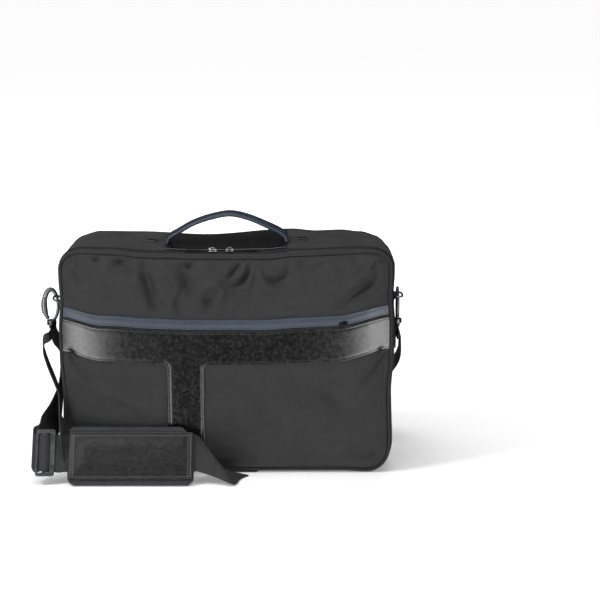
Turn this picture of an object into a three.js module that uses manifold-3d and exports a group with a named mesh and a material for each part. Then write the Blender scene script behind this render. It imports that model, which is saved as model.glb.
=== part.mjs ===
// Convertible backpack in its carrying form: a landscape bag with a top handle and a shoulder strap.
// Millimetres, +Z up, front face towards -Y, +X to the right when the bag is seen from the front.
import * as THREE from 'three';
import { mergeVertices } from 'three/addons/utils/BufferGeometryUtils.js';
import Module from 'manifold-3d';

const wasm = await Module();
wasm.setup();

// Bag body
const bagWidth = 433;
const bagHeight = 300;
const bagDepth = 116;
const cornerRadius = 30;
const clothWall = 2;
const pipeRadius = 2.2;
const pipeProud = 1.2;
const gap = 0.35;
const frontBulge = 13;
const backBulge = 7;
const gussetBulge = 1.6;
const rightBulge = 4.8;
const bodyStep = 23;
const backStep = 35;

// Leather band with its leg, zip and zip trim on the front
const bandLow = 153;
const bandHeight = 45;
const zipHeight = 4;
const trimHeight = 13;
const legWidth = 48;
const legOffset = -52.5;
const leatherWall = 1.6;
const tapeWall = 1.2;

// Trim and band across the back face, beside one short end
const backBandWidth = 45;
const backTrimWidth = 13;
const backBandInset = 72;

// Top face: zip with two sliders, handle panel, slotted tabs and handle
const zipSetback = 12;
const zipWidth = 9;
const panelSetback = 3;
const panelDepth = 88;
const tabLength = 16;
const tabDepth = 10;
const tabSpread = 199;
const tabForward = 4;
const handleSpan = 162;
const handlePast = 1;
const footRoom = 0.7;
const handleRise = 44.5;
const handleWidth = 26;
const handleThickness = 4.8;
const handleForward = 4;
const sliderLength = 12;
const sliderWidth = 8;
const sliderHeight = 3.4;
const sliderSpread = 22;
const sliderMiddle = -6;
const frontSliderX = 153;
const pullLength = 31;
const pullWidth = 5;
const pullThickness = 1.4;
const pullRoom = 0.25;

// Side rings, hooks and their base loops
const ringHeightShare = 0.735;
const ringWire = 1.4;
const ringWidth = 28;
const ringReach = 10.9;
const ringTabWidth = 21;
const ringTabHeight = 34;
const tabWall = 1;
const rightRingDepthShare = 0.3;
const hookWidth = 18.5;
const hookLength = 42;
const hookWire = 2.1;
const hookBroad = 3.4;
const gateWire = 2.6;
const gateBroad = 3.9;
const toothRadius = 0.9;
const barrelRadius = 6.4;
const barrelLength = 7.5;
const swivelRadius = 4;
const swivelLength = 4.5;
const baseWire = 2;
const baseWindow = 4;
const baseRoom = 2;

// Shoulder strap, its sliding buckle and its pad
const strapWidth = 50;
const strapThickness = 1.6;
const buckleHeight = 62;
const buckleLeftBar = 3;
const buckleCentreBar = 4;
const buckleRightBar = 6;
const buckleSlot = 6;
const buckleThickness = 2;
const padLength = 164;
const padHeight = 78;
const padThickness = 9;
const padEdge = 4;
const padLeatherHeight = 61;
const padLeatherInset = 1.5;
const padStand = 46;
const padLean = 30;
const padCentreShare = -0.285;
const buckleToPad = 17;

const X = new THREE.Vector3(1, 0, 0);
const Y = new THREE.Vector3(0, 1, 0);
const Z = new THREE.Vector3(0, 0, 1);
const vec = (x, y, z) => new THREE.Vector3(x, y, z);
const halfWidth = bagWidth / 2;
const halfDepth = bagDepth / 2;
const panelLength = handleSpan - 2 * handlePast;
const strapRoom = strapThickness + gap;

// Height of a profile at a place between rows of { at, is }, joined by smooth steps.
function profile(rows, at) {
  const last = rows.length - 1;
  if (at <= rows[0].at) return rows[0].is;
  if (at >= rows[last].at) return rows[last].is;
  const next = rows.findIndex((row) => row.at > at);
  const from = rows[next - 1];
  const to = rows[next];
  const t = (at - from.at) / (to.at - from.at);
  return from.is + (to.is - from.is) * t * t * (3 - 2 * t);
}

// at is a share of the bag's width, is a share of its height
const topSag = [
  { at: -0.44, is: 0 }, { at: -0.36, is: 0.004 }, { at: -0.22, is: 0.020 }, { at: -0.08, is: 0.025 },
  { at: 0.12, is: 0.025 }, { at: 0.21, is: 0.012 }, { at: 0.42, is: 0 },
];
// The same along the back edge, which stands a little higher and falls away at its corners
const backSag = [
  { at: -0.5, is: 0.015 }, { at: -0.455, is: 0.005 }, { at: -0.4, is: -0.0125 }, { at: -0.27, is: -0.011 },
  { at: -0.07, is: 0.002 }, { at: 0.2, is: -0.024 }, { at: 0.27, is: -0.015 }, { at: 0.35, is: -0.019 },
  { at: 0.41, is: -0.01 }, { at: 0.455, is: 0.004 }, { at: 0.5, is: 0.014 },
];
const bandLift = [
  { at: -0.5, is: 0.044 }, { at: -0.37, is: 0.009 }, { at: -0.1, is: 0.001 }, { at: 0.1, is: 0.001 },
  { at: 0.33, is: 0.009 }, { at: 0.5, is: 0.056 },
];
// at is a share of the bag's height, is a share of its width
const sideWave = [
  { at: 0.1, is: 0 }, { at: 0.32, is: -0.004 }, { at: 0.47, is: 0.003 }, { at: 0.6, is: 0.003 },
  { at: 0.75, is: -0.003 }, { at: 0.86, is: 0 },
];
// at is a share of the bag's width, is a share of the room the strap needs under the bag
const footArch = [{ at: -0.2, is: 0 }, { at: -0.12, is: 1 }, { at: 0.35, is: 1 }, { at: 0.43, is: 0 }];

// Folds, pleats and dents of the front: end points as shares of the width and height,
// spread as a share of the height, lift as a share of the front's bulge (negative is a dent).
const frontFolds = [
  { x0: -0.30, z0: 0.98, x1: -0.20, z1: 0.82, spread: 0.030, lift: -0.20 },
  { x0: -0.19, z0: 0.99, x1: -0.11, z1: 0.84, spread: 0.026, lift: 0.16 },
  { x0: -0.02, z0: 0.99, x1: 0.05, z1: 0.80, spread: 0.030, lift: -0.22 },
  { x0: 0.16, z0: 0.98, x1: 0.06, z1: 0.82, spread: 0.026, lift: 0.17 },
  { x0: 0.24, z0: 0.97, x1: 0.12, z1: 0.78, spread: 0.030, lift: -0.18 },
  { x0: -0.47, z0: 0.93, x1: -0.43, z1: 0.85, spread: 0.022, lift: -0.30 },
  { x0: 0.47, z0: 0.93, x1: 0.43, z1: 0.85, spread: 0.022, lift: -0.30 },
  { x0: -0.48, z0: 0.50, x1: -0.41, z1: 0.40, spread: 0.024, lift: -0.32 },
  { x0: 0.48, z0: 0.50, x1: 0.42, z1: 0.40, spread: 0.024, lift: -0.32 },
  { x0: -0.34, z0: 0.42, x1: -0.30, z1: 0.14, spread: 0.060, lift: 0.14 },
  { x0: 0.12, z0: 0.38, x1: 0.34, z1: 0.20, spread: 0.070, lift: 0.14 },
  { x0: 0.36, z0: 0.10, x1: 0.44, z1: 0.05, spread: 0.030, lift: -0.30 },
];
const backFolds = [
  { x0: -0.25, z0: 0.90, x1: 0.20, z1: 0.84, spread: 0.05, lift: -0.18 },
  { x0: -0.30, z0: 0.16, x1: 0.10, z1: 0.12, spread: 0.05, lift: -0.16 },
];

// Outline of the bag at a depth y: a place on the square pattern, carried to the rounded, sagging outline.
function outlinePlace(x, z, inset, y) {
  const side = Math.sign(x);
  const half = bagHeight / 2;
  const rise = Math.sign(z - half);
  const inX = Math.max(0, Math.abs(x) - (halfWidth - cornerRadius)) / cornerRadius;
  const inZ = Math.max(0, Math.abs(z - half) - (half - cornerRadius)) / cornerRadius;
  const radius = cornerRadius - inset;
  let alongX = inX * radius;
  let alongZ = inZ * radius;
  if (inX > 0 && inZ > 0) {
    const reach = Math.max(inX, inZ) * radius;
    const turn = inX >= inZ ? (Math.PI / 4) * (inZ / inX) : Math.PI / 2 - (Math.PI / 4) * (inX / inZ);
    alongX = reach * Math.cos(turn);
    alongZ = reach * Math.sin(turn);
  }
  const flatX = Math.min(Math.abs(x), halfWidth - cornerRadius) * side + alongX * side;
  const flatZ = half + (Math.min(Math.abs(z - half), half - cornerRadius) + alongZ) * rise;
  const shareX = flatX / bagWidth;
  const shareZ = flatZ / bagHeight;
  const lifted = Math.sin(Math.PI * Math.min(1, Math.max(0, shareZ))) ** 0.8;
  const toBack = (y + halfDepth) / bagDepth;
  const sag = profile(topSag, shareX) * (1 - toBack) + profile(backSag, shareX) * toBack;
  const drop = sag * bagHeight * shareZ ** 2;
  const arch = profile(footArch, shareX) * strapRoom * (1 - shareZ) ** 6;
  return {
    x: flatX + profile(sideWave, shareZ) * bagWidth * (2 * shareX) ** 3,
    z: flatZ - drop + profile(bandLift, shareX) * bagHeight * lifted + arch,
  };
}

// Distance in shares of the height from a place to a fold's line
function foldDistance(fold, shareX, shareZ) {
  const wide = bagWidth / bagHeight;
  const dx = (fold.x1 - fold.x0) * wide;
  const dz = fold.z1 - fold.z0;
  const px = (shareX - fold.x0) * wide;
  const pz = shareZ - fold.z0;
  const t = Math.min(1, Math.max(0, (px * dx + pz * dz) / (dx * dx + dz * dz)));
  return Math.hypot(px - t * dx, pz - t * dz);
}

// How far the cloth stands out of its outline plane, nought along the outline.
function bulgeAt(x, z, bulge, folds) {
  const acrossX = 1 - Math.abs((2 * x) / bagWidth) ** 6;
  const acrossZ = 1 - Math.abs((2 * z) / bagHeight - 1) ** 4;
  const crown = Math.max(0, acrossX * acrossZ);
  let shape = crown;
  for (const fold of folds) {
    const away = foldDistance(fold, x / bagWidth, z / bagHeight) / fold.spread;
    shape += fold.lift * Math.exp(-away * away) * Math.min(1, crown * 3);
  }
  return bulge * shape;
}

// Lines across a span: evenly stepped between marks, with the finest step named.
function linesThrough(marks, step) {
  const lines = [marks[0]];
  for (let k = 1; k < marks.length; k += 1) {
    const span = marks[k] - marks[k - 1];
    const count = Math.max(1, Math.round(span / step));
    for (let i = 1; i <= count; i += 1) {
      lines.push(marks[k - 1] + (span * i) / count);
    }
  }
  return lines;
}

// Closed wall between two grids of points. keep says which cells are there.
function wallGeometry({ columns, rows, outer, inner, keep = () => true, wrap = false, turned = () => false }) {
  const points = [];
  const index = [];
  const numbers = new Map();
  const number = (side, i, j) => {
    const key = `${side},${i % columns},${j}`;
    if (!numbers.has(key)) {
      numbers.set(key, points.length / 3);
      const p = (side === 0 ? outer : inner)(i % columns, j);
      points.push(p.x, p.y, p.z);
    }
    return numbers.get(key);
  };
  const cellColumns = wrap ? columns : columns - 1;
  const has = (i, j) => {
    const column = wrap ? (i + columns) % columns : i;
    return column >= 0 && column < cellColumns && j >= 0 && j < rows - 1 && keep(column, j);
  };
  const edge = (i0, j0, i1, j1) => {
    const [a, b] = [number(0, i0, j0), number(0, i1, j1)];
    const [c, d] = [number(1, i0, j0), number(1, i1, j1)];
    index.push(a, c, b, b, c, d);
  };
  for (let j = 0; j < rows - 1; j += 1) {
    for (let i = 0; i < cellColumns; i += 1) {
      if (!has(i, j)) continue;
      for (const side of [0, 1]) {
        const a = number(side, i, j);
        const b = number(side, i + 1, j);
        const c = number(side, i + 1, j + 1);
        const d = number(side, i, j + 1);
        const faces = turned(i, j) ? [[a, b, d], [b, c, d]] : [[a, b, c], [a, c, d]];
        for (const face of faces) index.push(...(side === 0 ? face : face.reverse()));
      }
      if (!has(i, j - 1)) edge(i, j, i + 1, j);
      if (!has(i + 1, j)) edge(i + 1, j, i + 1, j + 1);
      if (!has(i, j + 1)) edge(i + 1, j + 1, i, j + 1);
      if (!has(i - 1, j)) edge(i, j + 1, i, j);
    }
  }
  const geometry = new THREE.BufferGeometry();
  geometry.setAttribute('position', new THREE.Float32BufferAttribute(points, 3));
  geometry.setIndex(index);
  return geometry;
}

// Wire along points that lie in one plane. aside is that plane's normal, and deep the half width along it
// where it isn't the radius. Sharp corners are mitred. An end can be cut to face a given way.
function wireGeometry(points, aside, radii, sides, closed, { deep, startFacing, endFacing } = {}) {
  const count = points.length;
  const section = (i) => {
    const before = points[closed ? (i + count - 1) % count : Math.max(0, i - 1)];
    const after = points[closed ? (i + 1) % count : Math.min(count - 1, i + 1)];
    const arrive = points[i].clone().sub(before);
    const leave = after.clone().sub(points[i]);
    if (arrive.lengthSq() === 0) arrive.copy(leave);
    if (leave.lengthSq() === 0) leave.copy(arrive);
    arrive.normalize();
    leave.normalize();
    const along = arrive.clone().add(leave).normalize();
    const across = aside.clone().cross(along).normalize();
    return { along, across, mitre: 1 / Math.max(0.6, along.dot(arrive)) };
  };
  const positions = [];
  points.forEach((point, i) => {
    const { along, across, mitre } = section(i);
    const radius = Array.isArray(radii) ? radii[i] : radii;
    const facing = [startFacing, endFacing][[0, count - 1].indexOf(i)];
    for (let s = 0; s < sides; s += 1) {
      const angle = (2 * Math.PI * (s + 0.5)) / sides;
      const p = point.clone()
        .addScaledVector(across, Math.cos(angle) * radius * mitre)
        .addScaledVector(aside, Math.sin(angle) * (deep ?? radius));
      if (facing) p.addScaledVector(along, -p.clone().sub(point).dot(facing) / along.dot(facing));
      positions.push(p.x, p.y, p.z);
    }
  });
  const index = [];
  const spans = closed ? count : count - 1;
  for (let i = 0; i < spans; i += 1) {
    const next = (i + 1) % count;
    for (let s = 0; s < sides; s += 1) {
      const t = (s + 1) % sides;
      const [a, b] = [i * sides + s, i * sides + t];
      const [c, d] = [next * sides + s, next * sides + t];
      index.push(a, c, b, b, c, d);
    }
  }
  if (!closed) {
    for (let s = 1; s < sides - 1; s += 1) {
      index.push(0, s, s + 1);
      const base = (count - 1) * sides;
      index.push(base, base + s + 1, base + s);
    }
  }
  const geometry = new THREE.BufferGeometry();
  geometry.setAttribute('position', new THREE.Float32BufferAttribute(positions, 3));
  geometry.setIndex(index);
  return outward(geometry);
}

// Turns every face over where the closed surface encloses a negative volume.
function outward(geometry) {
  const p = geometry.attributes.position;
  const order = geometry.index.array;
  let volume = 0;
  for (let i = 0; i < order.length; i += 3) {
    const [a, b, c] = [0, 1, 2].map((k) => vec(0, 0, 0).fromBufferAttribute(p, order[i + k]));
    volume += a.dot(b.cross(c));
  }
  if (volume < 0) {
    const turned = [];
    for (let i = 0; i < order.length; i += 3) turned.push(order[i], order[i + 2], order[i + 1]);
    geometry.setIndex(turned);
  }
  return geometry;
}

// Flat ribbon through rows of { left, right } edge points.
function ribbonGeometry(rows, thickness) {
  const positions = [];
  rows.forEach((row, i) => {
    const before = rows[Math.max(0, i - 1)];
    const after = rows[Math.min(rows.length - 1, i + 1)];
    const middle = (r) => r.left.clone().add(r.right).multiplyScalar(0.5);
    const across = row.right.clone().sub(row.left);
    const steps = [[before, row], [row, after]].filter(([a, b]) => a !== b);
    const flats = steps.map(([a, b]) => across.clone().cross(middle(b).sub(middle(a))).normalize());
    const face = flats.reduce((sum, flat) => sum.add(flat), vec(0, 0, 0)).normalize();
    const mitre = 1 / Math.max(0.7, face.dot(flats[0]));
    const lift = (0.5 * thickness) * mitre;
    for (const [point, way] of [[row.left, 1], [row.right, 1], [row.right, -1], [row.left, -1]]) {
      const p = point.clone().addScaledVector(face, way * lift);
      positions.push(p.x, p.y, p.z);
    }
  });
  const index = [];
  for (let i = 0; i < rows.length - 1; i += 1) {
    for (let s = 0; s < 4; s += 1) {
      const t = (s + 1) % 4;
      index.push(i * 4 + s, i * 4 + t, i * 4 + 4 + t, i * 4 + s, i * 4 + 4 + t, i * 4 + 4 + s);
    }
  }
  const end = (rows.length - 1) * 4;
  index.push(0, 2, 1, 0, 3, 2, end, end + 1, end + 2, end, end + 2, end + 3);
  const geometry = new THREE.BufferGeometry();
  geometry.setAttribute('position', new THREE.Float32BufferAttribute(positions, 3));
  geometry.setIndex(index);
  return outward(geometry);
}

// Smooth run through rows of edge points, each span cut into pieces no longer than step.
function smoothRows(rows, step) {
  const ends = (side) => new THREE.CatmullRomCurve3(rows.map((row) => row[side]), false, 'centripetal');
  const curves = { left: ends('left'), right: ends('right') };
  const spans = rows.length - 1;
  const result = [];
  for (let k = 0; k < spans; k += 1) {
    const long = Math.max(
      rows[k].left.distanceTo(rows[k + 1].left),
      rows[k].right.distanceTo(rows[k + 1].right),
    );
    const count = Math.max(1, Math.round(long / step));
    for (let i = 0; i < count; i += 1) {
      const t = (k + i / count) / spans;
      result.push({ left: curves.left.getPoint(t), right: curves.right.getPoint(t) });
    }
  }
  result.push({ left: rows[spans].left.clone(), right: rows[spans].right.clone() });
  return result;
}

function bare(geometry) {
  const copy = geometry.clone();
  for (const name of Object.keys(copy.attributes)) {
    if (name !== 'position') copy.deleteAttribute(name);
  }
  return mergeVertices(copy, 1e-5);
}

function solid(geometry) {
  const shape = bare(geometry);
  return new wasm.Manifold(new wasm.Mesh({
    numProp: 3,
    vertProperties: new Float32Array(shape.attributes.position.array),
    triVerts: new Uint32Array(shape.index.array),
  }));
}

function joined(geometries) {
  const whole = geometries.map(solid).reduce((sum, next) => sum.add(next));
  const mesh = whole.getMesh();
  const geometry = new THREE.BufferGeometry();
  geometry.setAttribute('position', new THREE.Float32BufferAttribute(mesh.vertProperties, 3));
  geometry.setIndex(Array.from(mesh.triVerts));
  return geometry;
}

const clothLook = { color: 0x303134, roughness: 0.92, metalness: 0 };
const leatherLook = { color: 0x17181a, roughness: 0.34, metalness: 0 };
const slateLook = { color: 0x38485c, roughness: 0.5, metalness: 0 };
const webbingLook = { color: 0x222326, roughness: 0.85, metalness: 0 };
const zipLook = { color: 0x1b1c1e, roughness: 0.6, metalness: 0 };
const sliderLook = { color: 0x8b8d90, roughness: 0.3, metalness: 0.9 };
const gunmetalLook = { color: 0x4c4f53, roughness: 0.4, metalness: 0.85 };

const bag = new THREE.Group();
function place(name, geometry, look, parent = bag) {
  const mesh = new THREE.Mesh(geometry, new THREE.MeshStandardMaterial(look));
  mesh.name = name;
  parent.add(mesh);
  return mesh;
}

// Square pattern of the front face, with lines along every edge of the band, leg, zip and trim
const legLeft = legOffset - legWidth / 2;
const legRight = legOffset + legWidth / 2;
const bandHigh = bandLow + bandHeight;
const zipHigh = bandHigh + zipHeight;
const trimHigh = zipHigh + trimHeight;
const cornerStep = cornerRadius / 3;
function cornerMarks(low, high, inner) {
  return { low, high, marks: [low + cornerRadius, ...inner, high - cornerRadius] };
}
function patternLines({ low, high, marks }, step) {
  const start = linesThrough([low, marks[0]], cornerStep);
  const finish = linesThrough([marks[marks.length - 1], high], cornerStep);
  return [...start, ...linesThrough(marks, step).slice(1, -1), ...finish];
}
const frontX = patternLines(cornerMarks(-halfWidth, halfWidth, [legLeft, legRight]), bodyStep);
const frontZ = patternLines(cornerMarks(0, bagHeight, [bandLow, bandHigh, zipHigh, trimHigh]), bodyStep);

const legTopRow = frontZ.findIndex((z) => z > bandLow - 1e-6);
const near = (a, b) => Math.abs(a - b) < 1e-6;
const rowOf = (lines, value) => lines.findIndex((line) => near(line, value));

// Point on a face panel: facing is -1 for the front and 1 for the back, out is the offset off the cloth.
function panelPoint(x, z, facing, bulge, folds, out) {
  const spot = outlinePlace(x, z, 2 * pipeRadius + gap, facing * halfDepth);
  const y = facing * (halfDepth + clothWall / 2 + bulgeAt(x, z, bulge, folds) + out);
  return vec(spot.x, y, spot.z);
}

function panelPiece({ xs, zs, facing, bulge, folds, inner, outer, keep }) {
  const geometry = wallGeometry({
    columns: xs.length,
    rows: zs.length,
    outer: (i, j) => panelPoint(xs[i], zs[j], facing, bulge, folds, outer),
    inner: (i, j) => panelPoint(xs[i], zs[j], facing, bulge, folds, inner),
    keep,
    turned: (i, j) => (i < (xs.length - 1) / 2) !== (j < (zs.length - 1) / 2),
  });
  return outward(geometry);
}

const frontFace = { xs: frontX, zs: frontZ, facing: -1, bulge: frontBulge, folds: frontFolds };
place('front_panel', panelPiece({ ...frontFace, inner: -clothWall, outer: 0 }), clothLook);
const onLeather = { inner: gap, outer: gap + leatherWall };
const inRows = (lines, low, high) => (j) => j >= rowOf(lines, low) && j < rowOf(lines, high);
const inBand = inRows(frontZ, bandLow, bandHigh);
const inLeg = inRows(frontX, legLeft, legRight);
place('front_band', panelPiece({
  ...frontFace, ...onLeather, keep: (i, j) => inBand(j) || (j < legTopRow && j > 0 && inLeg(i)),
}), leatherLook);
const inTrim = inRows(frontZ, zipHigh, trimHigh);
place('front_zip_trim', panelPiece({ ...frontFace, ...onLeather, keep: (i, j) => inTrim(j) }), slateLook);
const inZip = inRows(frontZ, bandHigh, zipHigh);
const frontZipEnds = (i) => i > 0 && i < frontX.length - 2;
place('front_zip', panelPiece({
  ...frontFace, inner: gap, outer: gap + tapeWall, keep: (i, j) => inZip(j) && frontZipEnds(i),
}), zipLook);

// Back face, with its own pattern
const backBandLeft = halfWidth - backBandInset - backBandWidth;
const backBandRight = halfWidth - backBandInset;
const backTrimRight = backBandRight + zipHeight + backTrimWidth;
const backTrimLeft = backTrimRight - backTrimWidth;
const backMarks = [backBandLeft, backBandRight, backTrimLeft, backTrimRight];
const backX = patternLines(cornerMarks(-halfWidth, halfWidth, backMarks), backStep);
const backZ = patternLines(cornerMarks(0, bagHeight, [bagHeight / 2]), backStep);
const backFace = { xs: backX, zs: backZ, facing: 1, bulge: backBulge, folds: backFolds };
place('back_panel', panelPiece({ ...backFace, inner: -clothWall, outer: 0 }), clothLook);
const inBackBand = inRows(backX, backBandLeft, backBandRight);
place('back_band', panelPiece({ ...backFace, ...onLeather, keep: inBackBand }), leatherLook);
const inBackTrim = inRows(backX, backTrimLeft, backTrimRight);
place('back_zip_trim', panelPiece({ ...backFace, ...onLeather, keep: inBackTrim }), slateLook);

// Loop of pattern places around the outline, from the bottom left corner, anticlockwise from the front
function loopPlaces(xs, zs) {
  return [
    ...xs.map((x) => [x, 0]),
    ...zs.slice(1).map((z) => [halfWidth, z]),
    ...xs.slice(0, -1).reverse().map((x) => [x, bagHeight]),
    ...zs.slice(1, -1).reverse().map((z) => [-halfWidth, z]),
  ];
}

function pipingGeometry(xs, zs, y) {
  const points = loopPlaces(xs, zs).map(([x, z]) => {
    const spot = outlinePlace(x, z, pipeRadius, y);
    return vec(spot.x, y, spot.z);
  });
  return wireGeometry(points, Y.clone(), pipeRadius, 6, true);
}
place('front_piping', pipingGeometry(frontX, frontZ, -halfDepth), webbingLook);
place('back_piping', pipingGeometry(backX, backZ, halfDepth), webbingLook);

// Gusset: the wall that runs round between the two pipings
const gussetEdge = halfDepth - pipeRadius - gap;
const zipFront = -halfDepth + zipSetback;
const zipBack = zipFront + zipWidth;
const panelFront = zipBack + panelSetback;
const panelBack = panelFront + panelDepth;
const tabCentre = (panelFront + panelBack) / 2 - tabForward;
const tabCentreX = tabSpread / 2;
const gussetX = patternLines(cornerMarks(-halfWidth, halfWidth, [
  -tabCentreX - tabLength / 2, -tabCentreX + tabLength / 2, -panelLength / 2,
  panelLength / 2, tabCentreX - tabLength / 2, tabCentreX + tabLength / 2,
]), backStep);
const gussetZ = patternLines(cornerMarks(0, bagHeight, [bagHeight / 2]), backStep);
const gussetY = [
  -gussetEdge, zipFront, zipBack, panelFront, tabCentre - tabDepth / 2, tabCentre + tabDepth / 2,
  panelBack, gussetEdge,
];
const gussetLoop = loopPlaces(gussetX, gussetZ);

// Share of its bulge that the gusset has at a depth
const acrossGusset = (y) => 1 - (y / halfDepth) ** 4;

// Place on the gusset's outer face and the way it faces, for the i-th place of the loop and a depth y
function gussetSpot(i, y) {
  const count = gussetLoop.length;
  const at = (k) => outlinePlace(...gussetLoop[(k + count) % count], pipeProud, y);
  const here = at(i);
  const ahead = at(i + 1);
  const behind = at(i - 1);
  const facing = vec(ahead.z - behind.z, 0, behind.x - ahead.x).normalize();
  const upright = 1 - Math.max(0, -facing.z) ** 2;
  const bulge = gussetBulge + (rightBulge - gussetBulge) * Math.max(0, facing.x) ** 2;
  const out = bulge * upright * acrossGusset(y);
  return { point: vec(here.x, y, here.z).addScaledVector(facing, out), facing };
}
function gussetPiece({ inner, outer, keep }) {
  const at = (out) => (i, j) => {
    const { point, facing } = gussetSpot(i, gussetY[j]);
    return point.addScaledVector(facing, out);
  };
  const shape = wallGeometry({
    columns: gussetLoop.length, rows: gussetY.length, outer: at(outer), inner: at(inner), keep, wrap: true,
  });
  return outward(shape);
}
place('gusset', gussetPiece({ inner: -clothWall, outer: 0 }), clothLook);

// Which loop cells run along the top, or within a height of a side, and where in depth
const loopCell = (i) => {
  const [x0, z0] = gussetLoop[i];
  const [x1, z1] = gussetLoop[(i + 1) % gussetLoop.length];
  return { x: (x0 + x1) / 2, z: (z0 + z1) / 2 };
};
const onTop = (i) => near(loopCell(i).z, bagHeight);
const zipFoot = bagHeight / 2;
const zipRun = (i) => loopCell(i).z > zipFoot;
place('main_zip', gussetPiece({
  inner: gap, outer: gap + tapeWall, keep: (i, j) => near(gussetY[j], zipFront) && zipRun(i),
}), zipLook);
place('handle_panel', gussetPiece({
  ...onLeather,
  keep: (i, j) => onTop(i) && Math.abs(loopCell(i).x) < panelLength / 2
    && gussetY[j] >= panelFront && gussetY[j] < panelBack,
}), leatherLook);
for (const [name, side] of [['slot_tab_left', -1], ['slot_tab_right', 1]]) {
  place(name, gussetPiece({
    ...onLeather,
    keep: (i, j) => onTop(i) && Math.abs(loopCell(i).x - side * tabCentreX) < tabLength / 2
      && near(gussetY[j], tabCentre - tabDepth / 2),
  }), leatherLook);
}

// Outermost height of the top face over a patch
function topHeight(x, y) {
  return outlinePlace(x, bagHeight, pipeProud, y).z + gussetBulge * acrossGusset(y);
}

// Handle: a flat leather strip in an arch over the handle panel. at and is are shares of span and rise.
const handleArch = [
  { at: -0.5, is: 0 }, { at: -0.48, is: 0.17 }, { at: -0.41, is: 0.35 }, { at: -0.28, is: 0.66 },
  { at: -0.13, is: 0.88 }, { at: 0.03, is: 1 }, { at: 0.18, is: 0.86 }, { at: 0.32, is: 0.6 },
  { at: 0.44, is: 0.33 }, { at: 0.49, is: 0.15 }, { at: 0.5, is: 0 },
];
const handleY = -handleForward;
const handleTop = topHeight(0, handleY) + handleRise - handleThickness / 2;
function handleRow({ at, is }) {
  const x = at * (handleSpan - handleThickness);
  const edge = (y) => {
    const [left, right] = [-1, 1].map((side) => topHeight((side * handleSpan) / 2, y) + leatherWall + 2 * gap);
    const foot = left * (0.5 - at) + right * (0.5 + at) + footRoom;
    return vec(x, y, foot + is * (handleTop - foot));
  };
  return { left: edge(handleY - handleWidth / 2), right: edge(handleY + handleWidth / 2) };
}
place('handle', ribbonGeometry(handleArch.map(handleRow), handleThickness), slateLook);

// Zip sliders with their pulls: two on the main zip, pulls lying outward along it
function sliderGeometry(long, wide, high) {
  const outline = new THREE.Shape();
  outline.moveTo(-long / 2, -wide * 0.3);
  outline.lineTo(-long * 0.15, -wide / 2);
  outline.lineTo(long / 2, -wide / 2);
  outline.lineTo(long / 2, wide / 2);
  outline.lineTo(-long * 0.15, wide / 2);
  outline.lineTo(-long / 2, wide * 0.3);
  outline.closePath();
  return new THREE.ExtrudeGeometry(outline, { depth: high, bevelEnabled: false, steps: 1 });
}
function pullGeometry(long) {
  const outline = new THREE.Shape();
  const half = pullWidth / 2;
  outline.moveTo(0, -half * 0.6);
  outline.lineTo(long - half, -half);
  outline.lineTo(long, -half * 0.4);
  outline.lineTo(long, half * 0.4);
  outline.lineTo(long - half, half);
  outline.lineTo(0, half * 0.6);
  outline.closePath();
  return new THREE.ExtrudeGeometry(outline, { depth: pullThickness, bevelEnabled: false, steps: 1 });
}
const zipCentre = (zipFront + zipBack) / 2;
for (const [name, side] of [['left', -1], ['right', 1]]) {
  const x = sliderMiddle + (side * sliderSpread) / 2;
  const reach = x + side * (sliderLength / 2 + gap + pullLength);
  const seat = gap + tapeWall + gap;
  const height = seat + Math.max(...[-0.5, 0, 0.5].flatMap((share) => [-0.5, 0.5].map(
    (part) => topHeight(x + share * sliderLength, zipCentre + part * sliderWidth))));
  const slider = place(`main_zip_slider_${name}`, sliderGeometry(sliderLength, sliderWidth, sliderHeight), sliderLook);
  slider.position.set(x, zipCentre, height);
  slider.rotation.z = side > 0 ? Math.PI : 0;
  const pull = place(`main_zip_pull_${name}`, pullGeometry(pullLength), zipLook);
  const start = x + side * (sliderLength / 2 + gap);
  const foot = topHeight(start, zipCentre) + seat;
  const far = topHeight(reach, zipCentre) + seat;
  const slope = Math.atan2(far - foot, pullLength);
  pull.position.set(start, zipCentre, foot + pullRoom);
  pull.rotation.set(0, -slope, side > 0 ? 0 : Math.PI, 'ZYX');
}

// Slider of the front zip, lying over the zip at the trim's lower edge
{
  const spots = [-0.5, 0, 0.5].map((t) => panelPoint(
    frontSliderX + t * sliderLength, zipHigh, -1, frontBulge, frontFolds, gap + leatherWall + gap));
  const lean = Math.atan2(spots[2].z - spots[0].z, spots[2].x - spots[0].x);
  const slider = place('front_zip_slider', sliderGeometry(sliderLength, sliderWidth, sliderHeight * 0.8), zipLook);
  slider.position.set(spots[1].x, Math.min(...spots.map((spot) => spot.y)) - gap, spots[1].z);
  slider.rotation.set(Math.PI / 2, -lean, 0, 'YXZ');
}

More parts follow.
